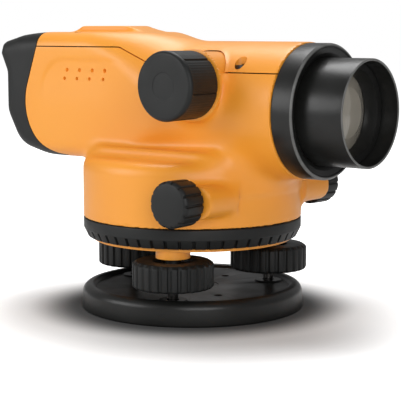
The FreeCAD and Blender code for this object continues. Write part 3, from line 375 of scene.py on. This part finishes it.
def box2(u, v, centre_u, centre_v, half_u, half_v, corner):
    """Signed distance to a rectangle with rounded corners, negative inside."""
    du = np.abs(u - centre_u) - (half_u - corner)
    dv = np.abs(v - centre_v) - (half_v - corner)
    outside = np.hypot(np.maximum(du, 0.0), np.maximum(dv, 0.0))
    return outside + np.minimum(np.maximum(du, dv), 0.0) - corner


def polygon2(u, v, outline):
    """Signed distance to a closed outline, negative inside."""
    best = None
    inside = None
    for (au, av), (bu, bv) in zip(outline, outline[1:] + outline[:1]):
        eu, ev = bu - au, bv - av
        length = eu * eu + ev * ev
        if length < 1e-12:
            continue
        wu, wv = u - au, v - av
        share = np.clip((wu * eu + wv * ev) / length, 0.0, 1.0)
        gap = (wu - share * eu) ** 2 + (wv - share * ev) ** 2
        best = gap if best is None else np.minimum(best, gap)
        crosses = ((av > v) != (bv > v)) & (u < au + (v - av) * eu / (ev if ev else 1e-12))
        inside = crosses if inside is None else inside ^ crosses
    return np.where(inside, -1.0, 1.0) * np.sqrt(best)


def eased(value, start, end):
    """0 before start, 1 after end, smooth between."""
    share = np.clip((value - start) / (end - start), 0.0, 1.0)
    return share * share * (3 - 2 * share)


# shape of the housing, in millimetres
KNOB_X = (low_mm("focus_knob").x + high_mm("focus_knob").x) / 2
KNOB_Z = (low_mm("focus_knob").z + high_mm("focus_knob").z) / 2
# rear, front, lower and upper edge of the pad behind the focusing knob
BOSS = (12.0, 41.5, 98.0, 129.3)
BOSS_CORNER = 12.5
BOSS_FACE = 35.8
COLLAR_R = 17.1
COLLAR_REAR = 34.4
BARREL_R = 32.4
BOX_CORNER = 9.0
RIDGE_HALF = 9.0
LOFT_REAR = -24.0
LOFT_FRONT = 11.0
TOP_LOFT_REAR = -48.0
TOP_LOFT_FRONT = 8.0
WALL = 2.6
EYEPIECE_BORE = 14.6
EYEPIECE_BORE_FRONT = -90.0
BARREL_BORE_REAR = 50.0
BOWL_BORE = 37.0
BOWL_BORE_TOP = 60.0
BOWL_TOP = 77.0
WEB_Z = 72.9
WEB_HALF = 4.0
LEDGE_HALF = 36.5
LEDGE_LOW = 64.0
LEDGE_TOP = 82.0
WORM_BOSS_X = 36.0
WORM_BOSS_Z = 60.4
WORM_BOSS_FACE = 49.4
WORM_BOSS_BACK = 28.0
REAR_SIDE = rounded([
    (-56, 69.4), (-95, 78.8, 16), (-104.9, 96, 14), (-104.9, 117.0, 7), (-109.6, 126.8, 3),
    (-107.5, 133.2, 4), (-94, 136.6, 16), (-68, 139.6), (130, 160), (130, 0), (-56, 0),
], 1.2)
RIDGE_SIDE = rounded([
    (-77, 133), (-22, 133), (-25.5, 138.4, 4), (-36, RIDGE_TOP, 7), (-67.4, RIDGE_TOP, 5), (-73, 138.2, 3),
], 0.8)


def tube_field(x, y, z):
    """The telescope's housing: a rounded box that turns into the round barrel, open at the front."""
    share = eased(x, LOFT_REAR, LOFT_FRONT)
    low = BOX_LOW + (AXIS_Z - BARREL_R - BOX_LOW) * share
    high = BOX_HIGH + (AXIS_Z + BARREL_R - BOX_HIGH) * share
    half = BOX_HALF + (BARREL_R - BOX_HALF) * share
    early = eased(x, TOP_LOFT_REAR, TOP_LOFT_FRONT) - share
    corner = BOX_CORNER + (BARREL_R - 0.3 - BOX_CORNER) * (share + early * eased(z, 98.0, 114.0))
    body = box2(y, z, 0.0, (low + high) / 2, half, (high - low) / 2, corner)
    rear = shared(polygon2(x, z, REAR_SIDE), np.abs(y) - BOX_HALF - 1.5 * share, 9.4)
    body = shared(body, rear, 1.0)
    ridge = shared(polygon2(x, z, RIDGE_SIDE), np.abs(y) - RIDGE_HALF, 1.6)
    return joined(body, ridge, 1.6)


def bowl_field(x, y, z):
    """The bowl over the vertical axis, with its flat ledge and the two bosses of the tangent screw."""
    ring = np.hypot(x, y)
    bowl = shared(ring - BOWL_R, z - BOWL_TOP, 7.0)
    bowl = shared(bowl, BOWL_LOW - z, 0.6)
    edge = shared(np.abs(y) - LEDGE_HALF, z - LEDGE_TOP, 2.4)
    round_edge = np.hypot(x - 1.5, y) - (BOWL_R - 2.5)
    ledge = shared(edge, round_edge, 8.0)
    ledge = shared(ledge, LEDGE_LOW - z, 1.0)
    field = joined(bowl, ledge, 5.0)
    boss = box2(x, z, WORM_BOSS_X, WORM_BOSS_Z, 14.4, 7.6, 7.2)
    boss = shared(boss, np.abs(y) - WORM_BOSS_FACE, 1.4)
    boss = shared(boss, WORM_BOSS_BACK - np.abs(y), 0.5)
    return joined(field, boss, 4.0)


def focus_boss_field(x, y, z):
    """The pad behind the focusing knob."""
    rear, front, low, high = BOSS
    boss = box2(x, z, (rear + front) / 2, (low + high) / 2, (front - rear) / 2, (high - low) / 2, BOSS_CORNER)
    return shared(shared(boss, -BOSS_FACE - y, 1.2), y + 12.0, 0.5)


def collar_field(x, y, z):
    """The round collar on the pad's face."""
    disc = np.hypot(x - KNOB_X, z - KNOB_Z) - COLLAR_R
    return shared(shared(disc, -BOSS_FACE - y, 0.8), y + COLLAR_REAR, 0.8)


def recess(x, z):
    """How deep the side's shallow panel is sunk, fading away towards the front and below."""
    panel = box2(x, z, -42.5, 108.0, 33.0, 16.5, 16.4)
    fade = (1 - eased(x, -38.0, -18.0)) * eased(z, 98.0, 120.0)
    return (1 - eased(panel, -0.7, 0.7)) * fade * 0.65


def outside_field(x, y, z):
    """Everything that the housing's three shells make together."""
    under = 4.0 + 5.0 * eased(x, -10.0, 40.0)
    body = joined(tube_field(x, y, z), bowl_field(x, y, z), under)
    fillet = 1.6 + 5.0 * (1 - eased(z, 114.0, 120.5))
    body = joined(body, focus_boss_field(x, y, z), fillet)
    body = joined(body, collar_field(x, y, z), 0.6 + 1.2 * (1 - eased(z, 113.0, 120.0)))
    return body + recess(x, z) * eased(-y, 27.0, 29.0)


def housing_field(x, y, z):
    """The housing's wall, with its floor over the vertical axis and its open ends."""
    outside = shared(outside_field(x, y, z), x - FRONT, 0.8)
    wall = np.maximum(outside, -(outside_field(x, y, z) + WALL))
    web = np.maximum(np.abs(z - WEB_Z) - WEB_HALF, outside)
    wall = np.minimum(wall, web)
    ring = np.hypot(x, y)
    wall = np.maximum(wall, -np.maximum(ring - BOWL_BORE, z - BOWL_BORE_TOP))
    bore = np.hypot(y, z - AXIS_Z)
    wall = np.maximum(wall, -np.maximum(bore - (BARREL_R - WALL), BARREL_BORE_REAR - x))
    return np.maximum(wall, -np.maximum(bore - EYEPIECE_BORE, x - EYEPIECE_BORE_FRONT))


def surface(field, low, high, step, smoothing=2):
    """Points and quads of the surface where a field is zero."""
    axes = [np.arange(a - 1.5 * step, b + 2 * step, step) for a, b in zip(low, high)]
    grid = (axes[0][:, None, None], axes[1][None, :, None], axes[2][None, None, :])
    value = np.broadcast_to(field(*grid), [len(a) for a in axes])
    inside = value < 0
    cells = [n - 1 for n in value.shape]
    offsets = [(i, j, k) for i in (0, 1) for j in (0, 1) for k in (0, 1)]

    def corner(array, offset):
        return array[tuple(slice(o, o + n) for o, n in zip(offset, cells))]

    count = sum(corner(inside, o).astype(np.uint8) for o in offsets)
    active = (count > 0) & (count < 8)
    at = np.argwhere(active)
    number = np.full(cells, -1, np.int64)
    number[active] = np.arange(len(at))
    total = np.zeros((len(at), 3))
    hits = np.zeros(len(at))
    for start in offsets:
        for axis in range(3):
            if start[axis]:
                continue
            end = tuple(o + (axis == n) for n, o in enumerate(start))
            a = value[tuple((at + start).T)]
            b = value[tuple((at + end).T)]
            crossed = (a < 0) != (b < 0)
            share = np.where(crossed, a / np.where(crossed, a - b, 1.0), 0.0)
            spot = np.array(start, float) + share[:, None] * (np.arange(3) == axis)
            total += spot * crossed[:, None]
            hits += crossed
    origin = np.array([a[0] for a in axes])
    points = origin + (at + total / hits[:, None]) * step
    quads = []
    for axis in range(3):
        u, v = (axis + 1) % 3, (axis + 2) % 3
        first = [slice(None)] * 3
        second = [slice(None)] * 3
        first[axis], second[axis] = slice(0, -1), slice(1, None)
        for s in (u, v):
            first[s] = second[s] = slice(1, -1)
        a, b = inside[tuple(first)], inside[tuple(second)]
        edge = np.argwhere(a != b)
        entering = b[tuple(edge.T)]
        base = edge.copy()
        base[:, u] += 1
        base[:, v] += 1
        around = []
        for du, dv in ((-1, -1), (0, -1), (0, 0), (-1, 0)):
            cell = base.copy()
            cell[:, u] += du
            cell[:, v] += dv
            around.append(number[tuple(cell.T)])
        quad = np.stack(around, 1)
        quad[entering] = quad[entering][:, ::-1]
        quads.append(quad)
    quads = np.concatenate(quads)
    return settle(field, points, quads, step, smoothing), quads


def gradient(field, points):
    """Value and slope of a field at points."""
    x, y, z = points.T
    reach = 0.05
    slope = np.stack([
        field(x + reach, y, z) - field(x - reach, y, z),
        field(x, y + reach, z) - field(x, y - reach, z),
        field(x, y, z + reach) - field(x, y, z - reach),
    ], 1) / (2 * reach)
    return field(x, y, z), slope


def settle(field, points, quads, step, rounds):
    """Even the points out along the surface and bring each back onto it."""
    ends = np.concatenate([quads[:, [a, b]] for a, b in ((0, 1), (1, 2), (2, 3), (3, 0))])
    ends = np.concatenate([ends, ends[:, ::-1]])
    count = np.bincount(ends[:, 0], minlength=len(points))[:, None]
    for turn in range(rounds + 2):
        if turn < rounds:
            middle = np.stack([
                np.bincount(ends[:, 0], points[ends[:, 1], axis], len(points)) for axis in range(3)
            ], 1) / count
            points = points + 0.5 * (middle - points)
        value, slope = gradient(field, points)
        size = np.maximum((slope ** 2).sum(1), 0.25)
        move = np.clip(value / size, -step, step)
        points = points - slope * move[:, None]
    return points


# ---------------------------------------------------------------- cutting

def prism_mesh(outline, low, high):
    """A closed outline of (X, Z) points drawn out along Y between two planes, in millimetres."""
    count = len(outline)
    points = [(x, end, z) for end in (low, high) for x, z in outline]
    faces = [list(range(count)), list(range(2 * count - 1, count - 1, -1))]
    faces += [[k, k + count, (k + 1) % count + count, (k + 1) % count] for k in range(count)]
    return mesh_from(points, faces)


def carved(mesh, cutter, operation):
    """A copy of a mesh after a boolean with another."""
    body = bpy.data.objects.new("carved_body", mesh)
    tool = bpy.data.objects.new("carving_tool", cutter)
    for item in (body, tool):
        bpy.context.scene.collection.objects.link(item)
    modifier = body.modifiers.new("carve", "BOOLEAN")
    modifier.operation = operation
    modifier.solver = "MANIFOLD"
    modifier.object = tool
    made = bpy.data.meshes.new_from_object(body.evaluated_get(bpy.context.evaluated_depsgraph_get()))
    bpy.data.objects.remove(body)
    bpy.data.objects.remove(tool)
    return made


def rod_mesh(radius, start, end, segments=32, tip=None):
    """A straight rod between two points in millimetres."""
    start, end = Vector(start), Vector(end)
    length = (end - start).length
    outer = radius if tip is None else tip
    profile = [(0, 0), (radius, 0), (outer, length), (0, length)]
    points, faces = spun(profile, segments)
    turn = (end - start).to_track_quat("Z", "Y").to_matrix()
    placed = points @ np.array(turn).T + np.array(start)
    return mesh_from(placed, faces)


# ---------------------------------------------------------------- housing

GAP = 0.55
SEAM_REAR = 130.8
SEAM_FRONT = 119.5
JOINT_TOP = -78.9
JOINT_LOW = -99.0
JOINT_CURVE = 27.0
SCREW_HOLE = 2.9
TOP_SCREWS = ((47.5, 23, 121), (-56, 22, 134))
REAR_SCREW = (-103.4, 22, 112)
# planes that lie clear of the housing
BEHIND = -112.0
ABOVE = 146
BESIDE = 90


def shifted_seam(shift):
    """The space above the parting line, moved up or down by half the gap."""
    rear, front = SEAM_REAR + shift, SEAM_FRONT + shift
    return rounded([(-130, rear), (-24, rear, 8), (2.5, front, 8), (100, front), (100, 160), (-130, 160)])


def boss_outline(grow):
    """The focusing pad's outline, drawn out by grow on every side."""
    rear, front, low, high = BOSS[0] - grow, BOSS[1] + grow, BOSS[2] - grow, BOSS[3] + grow
    corner = BOSS_CORNER + grow
    return rounded([(rear, low, corner), (front, low, corner), (front, high, corner), (rear, high, corner)])


def rear_joint(grow):
    """All that lies ahead of the rear cover's edge: a slanting line that ends in a curve."""
    return rounded([
        (130, 0), (-62 - grow, 0), (-62 - grow, BOX_LOW + 0.8),
        (JOINT_LOW - grow, BOX_LOW + 0.8, JOINT_CURVE),
        (JOINT_TOP - grow, SEAM_REAR), (JOINT_TOP - grow, 160), (130, 160),
    ])


def make_housing():
    """The three shells: the outside is one surface, which the seams then part."""
    step = 1.1
    low = (BEHIND, -BOWL_R - 0.5, BOWL_LOW)
    high = (FRONT, BOWL_R + 0.5, RIDGE_TOP)
    points, quads = surface(housing_field, low, high, step)
    whole = mesh_from(points, quads.tolist())
    for x, y, z, radius in dimple_places():
        whole = carved(whole, rod_mesh(0.6, (x, y, z), (x, y - 2.4, z), 16, radius), "DIFFERENCE")
    for side in (-1, 1):
        for x, y, z in TOP_SCREWS:
            whole = carved(whole, rod_mesh(SCREW_HOLE, (x, side * y, z), (x, side * y, ABOVE)), "DIFFERENCE")
        x, y, z = REAR_SCREW
        whole = carved(whole, rod_mesh(SCREW_HOLE, (x, side * y, z), (BEHIND, side * y, z)), "DIFFERENCE")

    ahead = carved(whole, prism_mesh(rear_joint(-GAP / 2), -BESIDE, BESIDE), "INTERSECT")
    behind = carved(whole, prism_mesh(rear_joint(GAP / 2), -BESIDE, BESIDE), "DIFFERENCE")
    collar = rod_mesh(COLLAR_R + 0.8, (KNOB_X, -34.1, KNOB_Z), (KNOB_X, -60, KNOB_Z), 96)
    spaces = []
    for gap in (GAP / 2, -GAP / 2):
        pad = prism_mesh(boss_outline(gap), -BESIDE, 0)
        seam = carved(prism_mesh(shifted_seam(gap), -BESIDE, BESIDE), pad, "DIFFERENCE")
        spaces.append(carved(seam, collar.copy(), "DIFFERENCE"))
    above, below = spaces
    lid = carved(ahead, above, "INTERSECT")
    lower = carved(ahead, below, "DIFFERENCE")
    finish_mesh("top_shell", lid, "alidade", "orange_paint", ["top_cover"])
    finish_mesh("lower_shell", lower, "alidade", "orange_paint", ["lower_housing"])
    finish_mesh("rear_shell", behind, "alidade", "black_moulding", ["rear_cover"])


def dimple_places():
    """Two rows of four small dimples on the near side: place and outer radius of each one's cutter."""
    side = -BOX_HALF + 2.2
    upper = [(x, side, 119.0, 1.5) for x in (-57.4, -48.7, -39.9, -31.3)]
    lower = [(x, side, 114.7, 1.2) for x in (-59.2, -50.5, -41.9, -32.4)]
    return upper + lower


make_housing()


# ---------------------------------------------------------------- plate, knobs and circle

def middle_of(node):
    return (low_mm(node) + high_mm(node)) / 2


FEET = [middle_of(f"foot_pad_{number}") for number in (1, 2, 3)]


def grooved(count, half, soft, depth, keep, crown=0.0):
    """A radius with even grooves; keep(radius, along) is the share of the depth that applies.

    crown is how far each rib falls away towards its edges."""
    pitch = 2 * math.pi / count

    def shape(radius, along, turn):
        offset = (turn + pitch / 2) % pitch - pitch / 2
        away = np.abs(offset) * radius
        groove = depth * (1 - eased(away, half - soft, half + soft))
        swell = crown * (1 - np.abs(offset) / (pitch / 2)) ** 2
        return radius - np.maximum(groove, swell) * keep(radius, along)

    return shape


def make_base_plate():
    """Dished round plate with a rounded rim, three low bosses and three small holes."""
    edge, top = high_mm("base_plate").x, high_mm("base_plate").z
    floor, under, rim = 9.9, 6.4, 48.9
    points, faces = spun(rounded([
        (11.5, 0), (17, 0, 0.4), (17, under, 1.2), (rim, under, 1.2), (rim, 0, 0.4), (edge, 0, 0.9),
        (edge - 0.8, top, 4.2), (rim + 1.2, top, 1.7), (rim, floor, 0.5), (13.5, floor, 0.25), (13.5, 8.1),
        (11.5, 8.1),
    ]), 200)
    plate = mesh_from(points, faces)
    boss, boss_faces = spun([
        (0, 1.6), (7.0, 1.6), (7.0, 8.6), (8.0, 8.6), (8.0, floor - 0.05), (7.4, 10.0), (7.05, 10.3),
        (6.7, 10.6), (0, 10.6),
    ], 64)
    for foot in FEET:
        x, y = foot.x, foot.y
        plate = carved(plate, mesh_from(boss + np.array([x, y, 0.0]), boss_faces), "UNION")
        plate = carved(plate, rod_mesh(4.0, (x, y, -1), (x, y, 8.9), 48), "DIFFERENCE")
        plate = carved(plate, rod_mesh(3.1, (x, y, 7), (x, y, 13), 48), "DIFFERENCE")
        turn = math.atan2(y, x) + math.radians(38)
        circle, hole = 30, 1.9
        x, y = circle * math.cos(turn), circle * math.sin(turn)
        plate = carved(plate, rod_mesh(hole, (x, y, -1), (x, y, 13)), "DIFFERENCE")
        plate = carved(plate, rod_mesh(hole, (x, y, 9.5), (x, y, 10.1), tip=2.4), "DIFFERENCE")
    finish_mesh("plate_piece", plate, "base", "black_paint", ["base_plate"])


def make_foot_knobs():
    """Three fluted knobs with a turned recess on top."""
    height = high_mm("foot_knob_1").z - low_mm("foot_knob_1").z
    outer, flutes = 19.7, 26
    profile = rounded([
        (7.4, 0, 0.3), (outer, 0, 1.5), (outer, height - 1.3, 0.9), (outer - 1.9, height, 1.2),
        (9.75, height, 0.6), (9.35, height - 2), (4, height - 2), (4, 3), (7.4, 3),
    ], 0.4)
    shape = grooved(flutes, 0.85, 0.40, 1.0, lambda radius, along: eased(radius, 17.6, 19.3), 0.35)
    for number, foot in enumerate(FEET, start=1):
        low = low_mm(f"foot_knob_{number}").z
        lathe(f"foot_knob_piece_{number}", profile, (foot.x, foot.y, low), "z", f"knob_{number}",
              "black_moulding", [f"foot_knob_{number}"], flutes * 16, shape, 40.0)


def make_circle():
    """The ring under the bowl, with notches below its lip."""
    notches = 50
    low, top = low_mm("horizontal_circle").z, high_mm("horizontal_circle").z
    edge = BOWL_R
    profile = rounded([
        (36.05, low + 7.2), (47.2, low + 7.2), (47.2, low), (edge - 2.2, low, 0.5),
        (edge - 0.24, low + 4.1), (edge - 0.2, low + 4.2), (edge, low + 4.6, 0.4), (edge, top, 0.7),
        (36.05, top),
    ], 0.25)
    shape = grooved(notches, 0.65, 0.14, 1.7, lambda radius, along: (radius > 50) * (along < low + 4.15))
    lathe("circle_piece", profile, (0, 0, 0), "z", "circle", "black_moulding", ["horizontal_circle"],
          notches * 24, shape, 30.0)


def make_tangent_knobs():
    """One small ribbed knob at each end of the worm shaft."""
    ribs = 14
    reach = high_mm("tangent_knob_far").y
    start = low_mm("tangent_knob_far").y
    length = reach - start
    centre = middle_of("tangent_knob_far")
    profile = rounded([
        (3, 0), (10.8, 0, 0.9), (11.1, length - 0.7, 2.2), (6, length - 0.1), (0, length),
        (0, length - 4), (3, length - 4),
    ], 0.3)
    shape = grooved(ribs, 0.55, 0.25, 0.75, lambda radius, along: eased(radius, 9.6, 10.9))
    for side, along in (("near", "-y"), ("far", "y")):
        across = -start if side == "near" else start
        lathe(f"tangent_knob_piece_{side}", profile, (centre.x, across, centre.z), along, "tangent",
              "black_moulding", [f"tangent_knob_{side}"], ribs * 20, shape, 40.0)


def make_focus_knob():
    """The large knob: a plain rim in front of fine ribs and a few wide grooves."""
    near, far = -low_mm("focus_knob").y, -high_mm("focus_knob").y
    length = near - far
    outer, ribs, grooves = 16.3, 72, 6
    profile = rounded([
        (3, 0), (outer - 0.3, 0, 0.9), (outer - 0.1, length - 3.3), (outer - 0.08, length - 3.0),
        (outer - 0.06, length - 2.7), (outer - 0.04, length - 2.4), (outer - 0.02, length - 2.1),
        (outer, length, 1.9), (6.5, length, 0.3), (6.2, length - 0.15, 0.3),
        (4.8, length - 0.1, 0.6), (0, length - 0.1), (0, length - 5), (3, length - 5),
    ], 0.3)

    def behind_rim(radius, along):
        return eased(radius, 15.3, 16.1) * (1 - eased(along, length - 3.2, length - 2.2))

    fine = grooved(ribs, 0.30, 0.18, 0.06, behind_rim)
    wide = grooved(grooves, 0.50, 0.20, 0.70, behind_rim)

    def shape(radius, along, turn):
        return np.minimum(fine(radius, along, turn), wide(radius, along, turn + math.radians(11.3)))

    lathe("focus_knob_piece", profile, (KNOB_X, -far, KNOB_Z), "-y", "focus", "black_moulding",
          ["focus_knob"], ribs * 10, shape, 40.0)


def make_collar_and_hood():
    """The objective's collar and the hood in front of it, both with a painted highlight on the rim."""
    back, front = low_mm("objective_collar").x, high_mm("objective_collar").x
    edge = high_mm("objective_collar").y
    centre = (0, 0, AXIS_Z)
    seat = 75
    collar = lathe("collar_piece", rounded([
        (23, back), (edge, back, 0.8), (edge, front - 0.8, 0.15), (edge - 0.8, front, 0.15),
        (edge - 1.5, front, 0.2), (edge - 2.0, front - 0.7, 0.2), (29.2, front - 0.8, 0.8),
        (27.4, front - 1.2, 1.0), (25.2, front - 2.6), (25.2, seat), (23, seat),
    ], 0.25), centre, "x", "alidade", "black_paint", ["objective_collar"], 192)
    # painted highlight on the collar's front rim
    collar.data.materials[0] = rim_highlight_paint("collar_paint_highlight", front - 0.75, edge - 1.25)
    outer, mouth = high_mm("lens_hood").y, high_mm("lens_hood").x
    inner, ring = outer - 1.2, outer - 1.7
    hood = lathe("hood_piece", rounded([
        (inner, seat), (outer, seat, 0.2), (outer, mouth, 0.5), (inner, mouth, 0.5),
        (inner, 92.4), (ring, 92.0), (ring, 89.0), (inner, 88.6),
    ], 0.2), centre, "x", "alidade", "black_paint", ["lens_hood"], 192)
    # painted highlight on the hood's mouth
    hood.data.materials[0] = rim_highlight_paint("hood_paint_highlight", mouth - 0.35, outer - 1.5)


make_base_plate()
make_foot_knobs()
make_circle()
make_tangent_knobs()
make_focus_knob()
make_collar_and_hood()


# ---------------------------------------------------------------- CAD nodes that stay

def paint_cad_nodes():
    """Give every CAD node the finish of its slot, a darker steel or the vial's glass."""
    slots = {row["node"]: row["material_slot"] for row in frame["record"]["subparts"]}
    special = {"bubble_vial": VIAL, "foot_screw_bushes": DARK_STEEL, "tripod_bush": DARK_STEEL,
               "cover_screws": DARK_STEEL}
    for number in (1, 2, 3):
        for kind in ("foot_pin", "foot_pad", "foot_screw"):
            special[f"{kind}_{number}"] = DARK_STEEL
    for name, item in frame["nodes"].items():
        item.data.materials.clear()
        item.data.materials.append(special.get(name, MATERIALS[slots[name]]))


paint_cad_nodes()


# ---------------------------------------------------------------- stage, lights and camera

WORLD_LIGHT = 0.30
FLOOR_GLOW = 0.85
# distances on the floor, in metres, over which the painted shadow fades and the glow rises
SHADE_FROM, SHADE_TO = 0.058, 0.086
GLOW_FROM, GLOW_TO = 0.068, 0.150


def make_stage():
    """A pale floor with a painted shadow: painted dark where the plate stands on it, and white further out.
    """
    mesh = bpy.data.meshes.new("floor")
    half = 3.0
    corners = [(-half, -half, 0.0), (half, -half, 0.0), (half, half, 0.0), (-half, half, 0.0)]
    mesh.from_pydata(corners, [], [(0, 1, 2, 3)])
    floor = bpy.data.objects.new("floor", mesh)
    bpy.context.scene.collection.objects.link(floor)
    m = Nodes("floor_with_painted_shadow")
    tone = m.spread(m.noise(3.0, 2.0), 0.0, 1.0)
    seen = m.add("ShaderNodeLightPath").outputs["Is Camera Ray"]
    near = m.add("ShaderNodeVectorMath", {0: m.point}, operation="LENGTH").outputs["Value"]
    # painted shadow: the floor's colour is painted near black round the plate's foot
    under = m.add("ShaderNodeMapRange", {
        "Value": near, "From Min": SHADE_FROM, "From Max": SHADE_TO, "To Min": 0.90, "To Max": 0.0,
    }, interpolation_type="SMOOTHSTEP").outputs["Result"]
    # the camera-only glow starts past the painted shadow, from a centre moved towards the camera, and paints
    # the shadow's soft outer fade
    shifted = m.add("ShaderNodeVectorMath", {0: m.point, 1: (0.016, -0.014, 0.0)}, operation="SUBTRACT")
    away = m.add("ShaderNodeVectorMath", {0: shifted.outputs["Vector"]}, operation="LENGTH").outputs["Value"]
    far = m.add("ShaderNodeMapRange", {
        "Value": away, "From Min": GLOW_FROM, "From Max": GLOW_TO, "To Min": 0.0, "To Max": FLOOR_GLOW,
    }, interpolation_type="SMOOTHSTEP").outputs["Result"]
    glow = m.add("ShaderNodeMath", {0: far, 1: seen}, operation="MULTIPLY").outputs["Value"]
    pale = m.blend(tone, (0.80, 0.80, 0.80), (0.82, 0.82, 0.82))
    # the pale floor blends to the painted shadow's near black
    m.set(Base_Color=m.blend(under, pale, (0.03, 0.03, 0.03)), Roughness=0.95,
          Specular_IOR_Level=0.1, Emission_Color=(1.0, 1.0, 1.0), Emission_Strength=glow)
    mesh.materials.append(m.material)


def aim(item, target):
    """Turn a lamp towards a point."""
    direction = Vector(target) - item.location
    item.rotation_mode = "QUATERNION"
    item.rotation_quaternion = direction.to_track_quat("-Z", "Y")


def add_light(name, place, target, size, power, colour=(1.0, 1.0, 1.0)):
    data = bpy.data.lights.new(name, "AREA")
    data.shape = "RECTANGLE"
    data.size, data.size_y = size
    data.energy = power
    data.color = colour
    lamp = bpy.data.objects.new(name, data)
    bpy.context.scene.collection.objects.link(lamp)
    lamp.location = place
    aim(lamp, target)
    return lamp


def make_lights():
    """A surround that is seen white but lights the piece more dimly, and three soft lamps."""
    world = bpy.data.worlds.new("studio")
    bpy.context.scene.world = world
    world.use_nodes = True
    tree = world.node_tree
    background = tree.nodes["Background"]
    background.inputs["Color"].default_value = (1.0, 1.0, 1.0, 1.0)
    seen = tree.nodes.new("ShaderNodeLightPath")
    strength = tree.nodes.new("ShaderNodeMapRange")
    strength.inputs["To Min"].default_value = WORLD_LIGHT
    strength.inputs["To Max"].default_value = 1.0
    tree.links.new(seen.outputs["Is Camera Ray"], strength.inputs["Value"])
    tree.links.new(strength.outputs["Result"], background.inputs["Strength"])
    middle = (0.0, 0.0, 0.09)
    add_light("key", (-0.55, -0.78, 0.40), middle, (0.70, 0.45), 4.2)
    add_light("fill", (0.80, -0.72, 0.42), middle, (0.7, 0.5), 4.5)
    add_light("top", (-0.20, 0.30, 0.95), middle, (0.6, 0.6), 7.0)


def make_camera():
    """The camera: as high as the instrument's top, between its front and its near side."""
    data = bpy.data.cameras.new("camera")
    data.lens = 119.2
    data.sensor_width = 36.0
    data.clip_start, data.clip_end = 0.02, 20.0
    camera = bpy.data.objects.new("camera", data)
    bpy.context.scene.collection.objects.link(camera)
    azimuth, elevation = math.radians(38.52), math.radians(7.40)
    back = Vector((math.sin(azimuth) * math.cos(elevation), -math.cos(azimuth) * math.cos(elevation),
                   math.sin(elevation)))
    camera.location = (0.4193, -0.5202, 0.1401)
    camera.rotation_mode = "QUATERNION"
    camera.rotation_quaternion = (-back).to_track_quat("-Z", "Y")
    bpy.context.scene.camera = camera


make_stage()
make_lights()
make_camera()
bpy.context.scene.view_settings.view_transform = "Standard"
